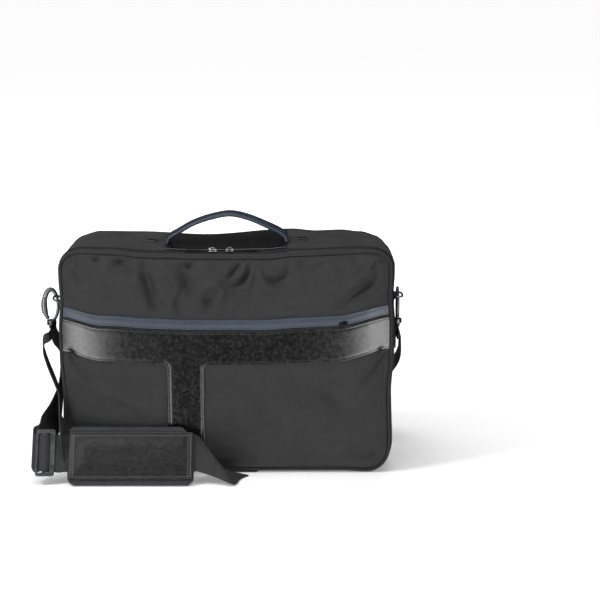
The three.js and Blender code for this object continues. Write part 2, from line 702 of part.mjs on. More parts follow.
// Side rings: a D of wire in a webbing tab, the hook's ring round its arc (left) or round its arm (right)
const ringZ = bagHeight * ringHeightShare;
function sideReach(side, y) {
  const spots = gussetLoop
    .map((spot, i) => ({ spot, i }))
    .filter(({ spot }) => near(spot[0], side * halfWidth) && Math.abs(spot[1] - ringZ) < ringTabHeight * 1.4)
    .map(({ i }) => Math.abs(gussetSpot(i, y).point.x));
  return Math.max(...spots);
}
const eyeRadius = ringWire + gap;
function ringTabGeometry() {
  const outline = new THREE.Shape();
  const centre = gap + tabWall + eyeRadius;
  const reach = eyeRadius + tabWall;
  outline.moveTo(gap, -ringTabHeight);
  outline.lineTo(gap + tabWall, -ringTabHeight);
  outline.lineTo(gap + tabWall, -reach);
  for (let k = 0; k <= 8; k += 1) {
    const angle = -Math.PI / 2 + (Math.PI * k) / 8;
    outline.lineTo(centre + Math.cos(angle) * reach, Math.sin(angle) * reach);
  }
  outline.lineTo(gap, reach);
  outline.closePath();
  const eye = new THREE.Path();
  for (let k = 0; k < 10; k += 1) {
    const angle = (-2 * Math.PI * k) / 10;
    const p = [centre + Math.cos(angle) * eyeRadius, Math.sin(angle) * eyeRadius];
    if (k === 0) eye.moveTo(...p);
    else eye.lineTo(...p);
  }
  eye.closePath();
  outline.holes.push(eye);
  const shape = new THREE.ExtrudeGeometry(outline, { depth: ringTabWidth, bevelEnabled: false, steps: 1 });
  shape.rotateX(Math.PI / 2);
  shape.translate(-centre, ringTabWidth / 2, 0);
  return { shape, centre };
}
// Point on the ring's squarish D, by its angle from the bar's end
function ringPoint(angle) {
  const square = (value) => Math.sign(value) * Math.abs(value) ** 0.5;
  return vec(square(Math.sin(angle)) * ringReach, square(Math.cos(angle)) * (ringWidth / 2), 0);
}
function ringGeometry() {
  const points = Array.from({ length: 13 }, (_, k) => ringPoint((Math.PI * k) / 12));
  return wireGeometry(points, Z.clone(), ringWire, 6, true);
}

// Hook: an oval snap hook. Its plane is XZ, its own origin the middle of the oval.
const ovalPoint = (degrees) => {
  const angle = THREE.MathUtils.degToRad(degrees);
  return vec(Math.cos(angle) * hookWidth * 0.5, 0, Math.sin(angle) * hookLength * 0.5);
};
const gateTopDegrees = 154;
const neckDegrees = -68;
const barrelTop = -hookLength / 2 + 1.2;
const pivotRadius = gateWire * 0.9;
const pivotRise = (barrelTop + pivotRadius + gap) / (hookLength / 2);
const gateFootDegrees = 180 - THREE.MathUtils.radToDeg(Math.asin(pivotRise));
const gatePivot = ovalPoint(gateFootDegrees);

// Half widths in the oval's plane by the angle round it: the arm is slim at the side that carries it and
// broad over the top, and the gate is broad in its middle
const armHalf = (degrees) => profile([{ at: 20, is: hookWire }, { at: 100, is: hookBroad }], degrees);
const gateHalf = (degrees) => profile([
  { at: gateTopDegrees, is: hookBroad }, { at: 180, is: gateBroad }, { at: 200, is: gateBroad },
  { at: gateFootDegrees, is: pivotRadius },
], degrees);

// The nose and the gate's top are cut on an arc round the pivot, so the gate swings clear of the nose
const gateTop = ovalPoint(gateTopDegrees);
const noseReach = Math.hypot(gateTop.distanceTo(gatePivot), gateHalf(gateTopDegrees)) + gap;
let noseDegrees = gateTopDegrees;
while (noseDegrees > 90 && ovalPoint(noseDegrees).distanceTo(gatePivot) < noseReach) noseDegrees -= 0.25;
const fromPivot = (point) => point.clone().sub(gatePivot).normalize();

function ovalRun(from, to, steps, half) {
  const degrees = Array.from({ length: steps + 1 }, (_, k) => from + ((to - from) * k) / steps);
  return { points: degrees.map(ovalPoint), halves: degrees.map(half) };
}
function barrelGeometry(radius, top, long, sides) {
  const rim = radius * 0.2;
  const outline = [
    [0, top - long], [radius - rim, top - long], [radius, top - long + rim],
    [radius, top - rim], [radius - rim, top], [0, top],
  ].map(([r, h]) => new THREE.Vector2(r, h));
  const shape = new THREE.LatheGeometry(outline, sides);
  shape.rotateX(Math.PI / 2);
  return shape;
}
function hookBodyGeometry() {
  const { points, halves } = ovalRun(neckDegrees, noseDegrees, 14, armHalf);
  const endFacing = fromPivot(points[points.length - 1]);
  const arm = wireGeometry(points, Y.clone(), halves, 6, false, { deep: hookWire, endFacing });
  const footRun = [points[0], vec(points[0].x * 0.6, 0, barrelTop - barrelLength * 0.4)];
  const foot = wireGeometry(footRun, Y.clone(), hookWire, 6, false);
  return joined([arm, foot, barrelGeometry(barrelRadius, barrelTop, barrelLength, 12)]);
}
function gateGeometry() {
  const { points, halves } = ovalRun(gateTopDegrees, gateFootDegrees, 8, gateHalf);
  const startFacing = fromPivot(gateTop);
  const lever = wireGeometry(points, Y.clone(), halves, 6, false, { deep: gateWire, startFacing });
  const teeth = [165, 175, 185.5, 196.5, 208].map((degrees) => {
    const spot = ovalPoint(degrees);
    const tooth = new THREE.CylinderGeometry(toothRadius, toothRadius, gateWire * 1.5, 6);
    tooth.translate(spot.x - gateHalf(degrees) * Math.cos(Math.PI / 6) + toothRadius / 3, 0, spot.z);
    return tooth;
  });
  const pivot = new THREE.CylinderGeometry(pivotRadius, pivotRadius, gateWire * 2, 12);
  pivot.translate(gatePivot.x, 0, gatePivot.z);
  return joined([lever, pivot, ...teeth]);
}
const swivelTop = barrelTop - barrelLength - gap;
const baseTopBar = swivelTop - swivelLength - baseWire + 1;
const baseBar = baseTopBar - 2 * baseWire - baseWindow;
function hookBaseGeometry() {
  const half = strapWidth / 2 + baseWire + baseRoom;
  const corners = [
    vec(-half, 0, baseBar), vec(half, 0, baseBar), vec(half, 0, baseTopBar - 2),
    vec(half - 5, 0, baseTopBar), vec(-half + 5, 0, baseTopBar), vec(-half, 0, baseTopBar - 2),
  ];
  const loop = wireGeometry(corners, Y.clone(), baseWire, 6, true);
  loop.rotateZ(Math.PI / 2);
  return joined([loop, barrelGeometry(swivelRadius, swivelTop, swivelLength, 10)]);
}

// A side's ring, tab and hook. tilt raises the ring's arc. The hook hangs off the arc a share of its
// width aside of its middle, or with its plane turned along the side, off the ring's rear arm.
const hookAside = 0.215;
const armAngle = THREE.MathUtils.degToRad(13);
const armRoom = 1.5 * gap;
const arcRoom = 6.9 * gap;
function sideSet(name, side, y, tilt, onArm) {
  const { shape, centre } = ringTabGeometry();
  const reach = sideReach(side, y) + gap;
  const barX = side * (reach + centre);
  if (side < 0) shape.scale(-1, 1, 1);
  const tab = place(`d_ring_tab_${name}`, outward(indexed(shape)), webbingLook);
  tab.position.set(barX, y, ringZ);
  const ring = place(`d_ring_${name}`, ringGeometry(), gunmetalLook);
  ring.position.set(barX, y, ringZ);
  ring.rotation.set(0, -tilt, side < 0 ? Math.PI : 0, 'ZYX');
  ring.updateMatrixWorld(true);
  const wire = ringPoint(onArm ? armAngle : Math.PI / 2).applyMatrix4(ring.matrix);
  const aside = onArm ? 0 : hookAside;
  const height = Math.sqrt(1 - (2 * aside) ** 2);
  const steep = Math.hypot((2 * aside * hookLength) / (height * hookWidth), 1);
  const ringTop = (hookLength / 2) * height - armHalf(THREE.MathUtils.radToDeg(Math.acos(2 * aside))) * steep;
  const hook = new THREE.Group();
  const hang = ringWire + (onArm ? armRoom : arcRoom) - ringTop;
  hook.position.set(wire.x + side * aside * hookWidth, wire.y, wire.z + hang);
  hook.rotation.z = onArm ? Math.PI / 2 : 0;
  bag.add(hook);
  place(`hook_${name}_body`, hookBodyGeometry(), gunmetalLook, hook);
  place(`hook_${name}_gate`, gateGeometry(), gunmetalLook, hook);
  const base = place(`hook_${name}_base`, hookBaseGeometry(), gunmetalLook, hook);
  base.rotation.z = onArm ? -Math.PI / 2 : 0;
  return vec(hook.position.x, hook.position.y, hook.position.z + baseBar);
}
function indexed(geometry) {
  if (!geometry.index) geometry.setIndex([...Array(geometry.attributes.position.count).keys()]);
  return geometry;
}
const leftBar = sideSet('left', -1, 0, THREE.MathUtils.degToRad(24), false);
const rightBar = sideSet('right', 1, bagDepth * rightRingDepthShare, 0, true);

// Pad and buckle lean back on one plane. up runs up the plane, back is its normal.
const lean = THREE.MathUtils.degToRad(padLean);
const up = vec(0, Math.sin(lean), Math.cos(lean));
const back = vec(0, Math.cos(lean), -Math.sin(lean));
const padCentreX = bagWidth * padCentreShare;
const padFootY = -halfDepth - frontBulge - padStand;
const strapUp = padHeight * 0.55;
const padLowest = Math.sin(lean) * (padEdge / 2);
const onPlane = (x, upward, backward) => vec(x, padFootY, padLowest)
  .addScaledVector(up, upward)
  .addScaledVector(back, backward);
const padPlane = new THREE.Matrix4().makeBasis(back, up, X.clone().negate());

// Pad: padded webbing-bound sleeve with a channel that the strap runs through
function padGeometry() {
  const halfHigh = padHeight / 2;
  const flat = padLeatherHeight / 2 + 2;
  const thick = padThickness / 2;
  const thin = padEdge / 2;
  const outline = new THREE.Shape();
  const corners = [
    [-thin, -halfHigh], [thin, -halfHigh], [thick, -flat], [thick, flat], [thin, halfHigh],
    [-thin, halfHigh], [-thick, flat], [-thick, -flat],
  ];
  corners.forEach(([n, u], k) => (k === 0 ? outline.moveTo(n, u) : outline.lineTo(n, u)));
  outline.closePath();
  const channel = new THREE.Path();
  const low = strapUp - halfHigh - strapWidth / 2 - gap;
  const high = strapUp - halfHigh + strapWidth / 2 + gap;
  const deep = strapThickness / 2 + gap;
  channel.moveTo(-deep, low);
  channel.lineTo(-deep, high);
  channel.lineTo(deep, high);
  channel.lineTo(deep, low);
  channel.closePath();
  outline.holes.push(channel);
  const shape = new THREE.ExtrudeGeometry(outline, { depth: padLength, bevelEnabled: false, steps: 1 });
  shape.translate(0, 0, -padLength / 2);
  shape.applyMatrix4(padPlane);
  return outward(indexed(shape));
}
const pad = place('strap_pad', padGeometry(), webbingLook);
pad.position.copy(onPlane(padCentreX, padHeight / 2, 0));
const leatherPanel = new THREE.BoxGeometry(leatherWall, padLeatherHeight, padLength - 2 * padLeatherInset);
leatherPanel.applyMatrix4(padPlane);
const padLeather = place('pad_leather', outward(leatherPanel), leatherLook);
padLeather.position.copy(onPlane(padCentreX, padHeight / 2, -padThickness / 2 - gap - leatherWall / 2));

// Buckle: a three-bar frame in front of the strap's plane
const buckleWidth = buckleLeftBar + buckleCentreBar + buckleRightBar + 2 * buckleSlot;
const weave = buckleThickness / 2 + gap + strapThickness / 2;
const buckleRight = padCentreX - padLength / 2 - buckleToPad;
const buckleLeft = buckleRight - buckleWidth;
function buckleGeometry() {
  const windowHigh = strapWidth + 2;
  const endHigh = (buckleHeight - windowHigh) / 2;
  const slab = (start, wide, low, high) => {
    const bar = new THREE.BoxGeometry(wide, high, buckleThickness);
    bar.translate(start + wide / 2, low + high / 2, 0);
    return bar;
  };
  const bars = [
    [0, buckleLeftBar],
    [buckleLeftBar + buckleSlot, buckleCentreBar],
    [buckleWidth - buckleRightBar, buckleRightBar],
  ].map(([start, wide]) => slab(start, wide, -buckleHeight / 2, buckleHeight));
  const ends = [-buckleHeight / 2, windowHigh / 2].map((low) => slab(0, buckleWidth, low, endHigh));
  const shape = joined([...bars, ...ends]);
  shape.applyMatrix4(new THREE.Matrix4().makeBasis(X, up, X.clone().cross(up)));
  return outward(shape);
}
const buckle = place('strap_buckle', buckleGeometry(), gunmetalLook);
buckle.position.copy(onPlane(buckleLeft, strapUp, -weave));

// Strap route. Each row is a middle point and the way its width runs, or two edge points.
const across = (middle, way, wide = strapWidth) => {
  const half = way.clone().normalize().multiplyScalar(wide / 2);
  return { left: middle.clone().sub(half), right: middle.clone().add(half) };
};
const swap = ({ left, right }) => ({ left: right, right: left });
const offsetFrom = (place, { x, y, z, way }) => across(
  place.clone().add(vec(x, y, z).multiplyScalar(strapWidth)), vec(...way));
const strapAt = (x, backward) => across(onPlane(x, strapUp, backward), up);
const barTurn = baseWire + 2 * gap + strapThickness / 2;

// From the sewn end behind the buckle, behind the pad's end and up to the hook: offsets from the
// buckle or from the hook's bar in shares of the strap's width
const tailX = buckleLeft + buckleLeftBar + buckleSlot;
const behindStrap = strapThickness + gap;
const sewnTail = [
  strapAt(tailX, behindStrap),
  strapAt(buckleRight, behindStrap),
  strapAt(buckleRight + 0.14 * strapWidth, behindStrap + 0.04 * strapWidth),
];
const climb = [
  { x: 0.3, y: 0.1, z: 0.03, way: [0, 0.5, 0.87] },
  { x: 0.2, y: 0.24, z: 0.3, way: [0, 0.75, 0.66] },
].map((row) => offsetFrom(onPlane(buckleRight, strapUp, 0), row));
const outerSide = [
  { x: 0.31, y: -1.32, z: -1.8 },
  { x: 0.29, y: -1.08, z: -1.52 },
  { x: 0.23, y: -0.84, z: -1.26 },
  { x: 0.1, y: -0.56, z: -1.06 },
  { x: -0.04, y: -0.3, z: -0.86 },
  { x: -0.17, y: -0.1, z: -0.61 },
  { x: -0.25, y: 0, z: -0.33 },
  { x: -0.21, y: 0, z: -0.11 },
  { x: -0.1, y: 0, z: -0.06 },
].map((row) => offsetFrom(leftBar, { ...row, way: [-0.15, 0.99, 0] }));
const barWrap = [180, 135, 90, 45, 0].map((degrees) => {
  const angle = THREE.MathUtils.degToRad(degrees);
  return across(leftBar.clone().add(vec(Math.cos(angle) * barTurn, 0, Math.sin(angle) * barTurn)), Y);
});
const innerSide = [
  { x: 0.12, y: 0, z: -0.12, way: [0, 1, 0] },
  { x: 0.25, y: 0.05, z: -0.48, way: [-0.03, 0.97, -0.25] },
  { x: 0.23, y: 0.16, z: -1.01, way: [-0.02, 0.96, -0.27] },
  { x: 0.14, y: 0.32, z: -1.53, way: [0, 0.95, -0.33] },
  { x: 0.06, y: -0.06, z: -1.96, way: [0.17, 0.88, -0.44] },
  { x: -0.03, y: -0.67, z: -2.3, way: [0.33, 0.64, -0.7] },
].map((row) => offsetFrom(leftBar, row));
const turnBack = [
  { x: 0.02, n: 0.16, u: 0.3 }, { x: -0.08, n: 0.11, u: 0.24 }, { x: -0.09, n: 0.02, u: 0.1 },
].map(({ x, n, u }) => swap(across(onPlane(buckleLeft + x * strapWidth, strapUp + u * strapWidth, n * strapWidth), up)));
const weaveRun = [
  strapAt(buckleLeft - 2, 0),
  strapAt(buckleLeft + buckleLeftBar + buckleSlot / 2 - weave, 0),
  strapAt(buckleLeft + buckleLeftBar + buckleSlot / 2 + weave, -2 * weave),
  strapAt(buckleRight - buckleRightBar - buckleSlot / 2 - weave, -2 * weave),
  strapAt(buckleRight - buckleRightBar - buckleSlot / 2 + weave, 0),
  strapAt(buckleRight + 2, 0),
];
const padRight = padCentreX + padLength / 2;
const padRun = [strapAt(padCentreX - padLength / 2, 0), strapAt(padCentreX, 0), strapAt(padRight + 1, 0)];

// Diagonal fold beyond the pad, then flat on the ground under the bag towards the far right
const ground = strapThickness / 2;
const underWay = vec(0.55, 0.835, 0).normalize();
const underSlant = strapWidth / underWay.y;
const foldTopX = padRight + 0.06 * strapWidth;
const footX = bagWidth * 0.092;
const footPlace = (y, lift) => {
  const x = footX + ((y + halfDepth) * underWay.x) / underWay.y;
  return { left: vec(x - underSlant, y, ground + lift), right: vec(x, y, ground + lift) };
};
const foldRun = [
  { left: onPlane(foldTopX, strapUp - strapWidth * 0.47, 0), right: onPlane(foldTopX, strapUp + strapWidth * 0.49, 0) },
  {
    left: onPlane(foldTopX + 0.5 * strapWidth, 0.22 * strapWidth, 0),
    right: onPlane(foldTopX + 0.02 * strapWidth, strapUp + strapWidth * 0.47, 0),
  },
  {
    left: onPlane(foldTopX + 0.98 * strapWidth, 0.03 * strapWidth, 0),
    right: onPlane(foldTopX + 0.06 * strapWidth, strapUp + strapWidth * 0.44, 0.01 * strapWidth),
  },
];
const behindFold = [
  { left: vec(footX - 0.42 * strapWidth, -halfDepth - 0.66 * strapWidth, ground), right: onPlane(foldTopX + 0.14 * strapWidth, 0.86 * strapWidth, 0.16 * strapWidth) },
  { left: vec(footX - 0.22 * strapWidth, -halfDepth - 0.34 * strapWidth, ground), right: vec(footX - 1.22 * strapWidth, -halfDepth - 0.16 * strapWidth, 0.16 * strapWidth) },
];
const underRun = [-0.5, -0.2, 0.2, 0.5].map((share) => swap(footPlace(share * (bagDepth + 3), 0)));

// Behind the bag the strap turns up to the bar of the right hook
const rightTurn = vec(rightBar.x, rightBar.y, 0);
const behindBag = footPlace(halfDepth + 0.1 * strapWidth, 0);
const rise = [
  { t: 0.14, dy: 0.74, z: 0.02, way: [-0.80, 0.60, 0] },
  { t: 0.40, dy: 0.98, z: 0.14, way: [-0.68, 0.73, 0] },
  { t: 0.68, dy: 0.98, z: 0.38, way: [-0.40, 0.92, 0] },
  { t: 0.93, dy: 0.74, z: 0.62, way: [-0.12, 0.99, 0] },
].map(({ t, dy, z, way }) => {
  const start = behindBag.right.clone().add(behindBag.left).multiplyScalar(0.5);
  const middle = start.lerp(rightTurn, t);
  middle.y = halfDepth + dy * strapWidth;
  middle.z = ground + z * (rightBar.z - barTurn);
  return swap(across(middle, vec(...way)));
});
const rightSide = rightBar.clone().add(vec(barTurn, 0, 0));
const rightWrap = [
  swap(across(rightSide.clone().add(vec(0, 0, -0.5 * strapWidth)), Y)),
  ...[0, 45, 90, 135, 180].map((degrees) => {
    const angle = THREE.MathUtils.degToRad(degrees);
    return swap(across(rightBar.clone().add(vec(Math.cos(angle) * barTurn, 0, Math.sin(angle) * barTurn)), Y));
  }),
  swap(across(rightBar.clone().add(vec(-barTurn, 0, -0.3 * strapWidth)), Y)),
];

const strapRows = [
  ...smoothRows([...sewnTail, ...climb, ...outerSide], 16),
  ...barWrap,
  ...smoothRows([...innerSide, ...turnBack], 16),
  ...weaveRun.map(swap),
  ...padRun.map(swap),
  ...smoothRows([...foldRun, ...behindFold].map(swap), 22),
  ...underRun,
  ...smoothRows(rise, 22),
  ...rightWrap,
];
place('strap_webbing', ribbonGeometry(strapRows, strapThickness), webbingLook);

// Origin: middle of the footprint on the ground
bag.updateMatrixWorld(true);
const box = new THREE.Box3().setFromObject(bag);
bag.position.set(-(box.min.x + box.max.x) / 2, -(box.min.y + box.max.y) / 2, -box.min.z);
bag.updateMatrixWorld(true);

export default bag;
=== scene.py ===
import math

import bmesh
import bpy
import numpy as np
from mathutils import Matrix, Vector, noise


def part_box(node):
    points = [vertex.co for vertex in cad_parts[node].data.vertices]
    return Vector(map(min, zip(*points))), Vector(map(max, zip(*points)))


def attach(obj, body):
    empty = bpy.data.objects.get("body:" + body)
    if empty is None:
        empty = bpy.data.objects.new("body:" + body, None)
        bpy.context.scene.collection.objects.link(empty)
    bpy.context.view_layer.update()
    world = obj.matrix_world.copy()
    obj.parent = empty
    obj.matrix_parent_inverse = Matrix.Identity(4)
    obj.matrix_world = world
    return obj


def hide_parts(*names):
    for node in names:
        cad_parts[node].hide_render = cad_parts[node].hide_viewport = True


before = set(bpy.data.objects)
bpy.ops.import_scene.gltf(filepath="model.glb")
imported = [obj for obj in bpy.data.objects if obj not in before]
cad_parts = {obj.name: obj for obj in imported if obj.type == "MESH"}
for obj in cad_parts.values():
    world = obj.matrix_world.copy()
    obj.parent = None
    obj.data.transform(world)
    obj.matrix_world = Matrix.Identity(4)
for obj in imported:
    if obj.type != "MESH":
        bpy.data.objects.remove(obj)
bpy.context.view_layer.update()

# A convertible backpack in its carrying form, dressed for the render. Sizes are in millimetres in the
# bag's own coordinates, as in the part: +Z up, front face towards -Y, floor at z = 0. to_world() puts
# them into the frame.
MM = 0.001

# Bag body
BAG_WIDTH, BAG_HEIGHT, BAG_DEPTH = 433.0, 300.0, 116.0
CORNER_RADIUS = 30.0
CLOTH_WALL = 2.0
PIPE_RADIUS = 2.2
PIPE_PROUD = 1.2
GAP = 0.35
FRONT_BULGE, BACK_BULGE, GUSSET_BULGE, RIGHT_BULGE = 13.0, 7.0, 1.6, 4.8
HALF_WIDTH, HALF_DEPTH = BAG_WIDTH / 2, BAG_DEPTH / 2

# Band, leg, zip and trim on the front
BAND_LOW, BAND_HEIGHT, ZIP_HEIGHT, TRIM_HEIGHT = 153.0, 45.0, 4.0, 13.0
LEG_WIDTH, LEG_OFFSET, LEG_FILLET = 48.0, -52.5, 7.0
LEATHER_WALL, TAPE_WALL = 1.6, 1.2
BAND_HIGH = BAND_LOW + BAND_HEIGHT
ZIP_HIGH = BAND_HIGH + ZIP_HEIGHT
TRIM_HIGH = ZIP_HIGH + TRIM_HEIGHT
LEG_LEFT, LEG_RIGHT = LEG_OFFSET - LEG_WIDTH / 2, LEG_OFFSET + LEG_WIDTH / 2

# Back
BACK_BAND_WIDTH, BACK_TRIM_WIDTH, BACK_BAND_INSET = 45.0, 13.0, 72.0

# Top
ZIP_SETBACK, ZIP_WIDTH = 12.0, 9.0
PANEL_LENGTH, PANEL_DEPTH = 160.0, 88.0
TAB_LENGTH, TAB_DEPTH, TAB_SPREAD = 16.0, 10.0, 199.0
HANDLE_SPAN, HANDLE_RISE, HANDLE_WIDTH, HANDLE_THICKNESS, HANDLE_Y = 162.0, 44.5, 26.0, 4.8, -4.0
FOOT_ROOM = 0.7
ZIP_FRONT = -HALF_DEPTH + ZIP_SETBACK
ZIP_BACK = ZIP_FRONT + ZIP_WIDTH
PANEL_FRONT = ZIP_BACK + 3.0
PANEL_BACK = PANEL_FRONT + PANEL_DEPTH

# Side rings, hooks
RING_WIRE, RING_WIDTH, RING_REACH = 1.4, 28.0, 10.9
RING_TAB_WIDTH, RING_TAB_HEIGHT, TAB_WALL = 21.0, 34.0, 1.0
EYE_RADIUS = RING_WIRE + GAP
RING_TILT = math.radians(24)
HOOK_WIDTH, HOOK_LENGTH = 18.5, 42.0
HOOK_WIRE, HOOK_BROAD, GATE_WIRE, GATE_BROAD = 2.1, 3.4, 2.6, 3.9
BARREL_RADIUS, BARREL_LENGTH, SWIVEL_RADIUS, SWIVEL_LENGTH = 6.4, 7.5, 4.0, 4.5
BASE_WIRE, BASE_WINDOW = 2.0, 4.0

# Strap, buckle and pad
STRAP_WIDTH, STRAP_THICKNESS = 50.0, 1.6
BUCKLE_HEIGHT, BUCKLE_BARS, BUCKLE_SLOT, BUCKLE_THICKNESS = 62.0, (3.0, 4.0, 6.0), 6.0, 2.0
PAD_LENGTH, PAD_HEIGHT, PAD_THICKNESS, PAD_EDGE = 164.0, 78.0, 9.0, 4.0
PAD_LEATHER_HEIGHT, PAD_LEATHER_INSET = 61.0, 1.5
PAD_STAND, PAD_LEAN, PAD_CENTRE_SHARE, BUCKLE_TO_PAD = 46.0, math.radians(30), -0.285, 17.0
STRAP_ROOM = STRAP_THICKNESS + GAP


def middle_of(node, axis):
    low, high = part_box(node)
    return (low[axis] + high[axis]) / 2 / MM


# The frame stands on the middle of its footprint, so the bag is shifted from its own middle
SHIFT = np.array([middle_of("front_piping", 0), middle_of("front_piping", 1) + HALF_DEPTH, 0.0])


def to_world(points):
    return (np.asarray(points, float) + SHIFT) * MM


def profile(rows, at):
    """Height of a profile at places between rows of (at, is), joined by smooth steps."""
    places, heights = np.array(rows, float).T
    at = np.asarray(at, float)
    k = np.clip(np.searchsorted(places, at, side="right") - 1, 0, len(rows) - 2)
    t = np.clip((at - places[k]) / (places[k + 1] - places[k]), 0, 1)
    return heights[k] + (heights[k + 1] - heights[k]) * t * t * (3 - 2 * t)


# Shape tables, as in the part. A profile holds rows of a place and an amount, in shares of the bag's
# size, but the foot arch's amounts are shares of the room that the strap needs under the bag. A fold
# holds its start, its end, its half width and its lift, the lift as a share of the bulge.
TOP_SAG = [(-0.44, 0), (-0.36, 0.004), (-0.22, 0.020), (-0.08, 0.025),
           (0.12, 0.025), (0.21, 0.012), (0.42, 0)]
BACK_SAG = [
    (-0.5, 0.015), (-0.455, 0.005), (-0.4, -0.0125), (-0.27, -0.011), (-0.07, 0.002),
    (0.2, -0.024), (0.27, -0.015), (0.35, -0.019), (0.41, -0.01), (0.455, 0.004),
    (0.5, 0.014),
]
BAND_LIFT = [(-0.5, 0.044), (-0.37, 0.009), (-0.1, 0.001), (0.1, 0.001), (0.33, 0.009), (0.5, 0.056)]
SIDE_WAVE = [(0.1, 0), (0.32, -0.004), (0.47, 0.003), (0.6, 0.003), (0.75, -0.003), (0.86, 0)]
FOOT_ARCH = [(-0.2, 0), (-0.12, 1), (0.35, 1), (0.43, 0)]
FRONT_FOLDS = [
    (-0.30, 0.98, -0.20, 0.82, 0.030, -0.20), (-0.19, 0.99, -0.11, 0.84, 0.026, 0.16),
    (-0.02, 0.99, 0.05, 0.80, 0.030, -0.22), (0.16, 0.98, 0.06, 0.82, 0.026, 0.17),
    (0.24, 0.97, 0.12, 0.78, 0.030, -0.18), (-0.47, 0.93, -0.43, 0.85, 0.022, -0.30),
    (0.47, 0.93, 0.43, 0.85, 0.022, -0.30), (-0.48, 0.50, -0.41, 0.40, 0.024, -0.32),
    (0.48, 0.50, 0.42, 0.40, 0.024, -0.32), (-0.34, 0.42, -0.30, 0.14, 0.060, 0.14),
    (0.12, 0.38, 0.34, 0.20, 0.070, 0.14), (0.36, 0.10, 0.44, 0.05, 0.030, -0.30),
]
BACK_FOLDS = [(-0.25, 0.90, 0.20, 0.84, 0.05, -0.18), (-0.30, 0.16, 0.10, 0.12, 0.05, -0.16)]

# Creases that only the cloth's own surface has: a line of places in shares of the width and height,
# its half width in millimetres, and its depth in fold depths (negative is a valley)
FOLD_DEPTH = 4.4
# Unevenness of the front cloth in millimetres: where it hangs from the top, broad, small and finest
HANG_UNEVEN, BROAD_UNEVEN, SMALL_UNEVEN, FINEST_UNEVEN = 4.2, 3.4, 1.5, 0.2
FRONT_CREASES = [
    ([(-0.244, 0.956), (-0.233, 0.877), (-0.217, 0.797), (-0.202, 0.762)], 7.0, -1.9),
    ([(-0.190, 0.973), (-0.161, 0.912), (-0.144, 0.859), (-0.163, 0.789), (-0.157, 0.731)], 6.5, 1.7),
    ([(-0.137, 0.956), (-0.113, 0.898), (-0.102, 0.833)], 5.5, -1.3),
    ([(-0.084, 0.833), (-0.054, 0.872), (-0.024, 0.877), (-0.006, 0.851), (-0.024, 0.789)], 5.0, 1.3),
    ([(-0.054, 0.824), (-0.049, 0.767)], 7.0, -1.6),
    ([(0.043, 0.969), (0.024, 0.938), (0.012, 0.903)], 3.6, -1.6),
    ([(0.030, 0.895), (0.048, 0.921), (0.058, 0.964)], 3.4, 1.2),
    ([(0.073, 0.969), (0.066, 0.93), (0.042, 0.877), (0.024, 0.872)], 3.4, -1.5),
    ([(0.080, 0.941), (0.074, 0.893), (0.063, 0.851), (0.069, 0.819)], 4.0, 1.3),
    ([(0.114, 0.956), (0.120, 0.912), (0.144, 0.886), (0.174, 0.903), (0.192, 0.956)], 4.4, -1.5),
    ([(0.102, 0.938), (0.126, 0.868), (0.168, 0.846)], 5.0, 1.2),
    ([(-0.393, 0.982), (-0.376, 0.96)], 4.0, -1.2),
    ([(-0.328, 0.973), (-0.304, 0.956)], 5.0, -1.3),
    ([(-0.119, 0.969), (-0.101, 0.956)], 5.0, -1.4),
    ([(0.318, 0.789), (0.378, 0.846), (0.443, 0.895)], 5.0, 1.1),
    ([(0.342, 0.753), (0.396, 0.807), (0.456, 0.851)], 5.0, -1.0),
    ([(0.264, 0.93), (0.294, 0.956)], 6.0, -0.9),
    ([(-0.43, 0.902), (-0.36, 0.863), (-0.30, 0.805)], 8.0, -1.0),
    ([(-0.394, 0.467), (-0.349, 0.431), (-0.258, 0.44)], 6.0, -0.8),
    ([(-0.411, 0.377), (-0.320, 0.35), (-0.230, 0.295)], 8.0, 0.8),
    ([(0.016, 0.467), (0.033, 0.249)], 9.0, 0.8),
    ([(0.228, 0.467), (0.319, 0.341), (0.387, 0.249)], 9.0, -0.8),
    ([(0.430, 0.080), (0.461, 0.057)], 4.5, -0.5),
]
# Sewn tucks: short sharp slits with a pucker each side
FRONT_TUCKS = [
    [(-0.463, 0.973), (-0.444, 0.917)], [(0.463, 0.967), (0.439, 0.907)],
]
PLEATS = [
    [(-0.470, 0.512), (-0.446, 0.475), (-0.422, 0.432)], [(0.481, 0.512), (0.458, 0.477), (0.437, 0.437)],
]


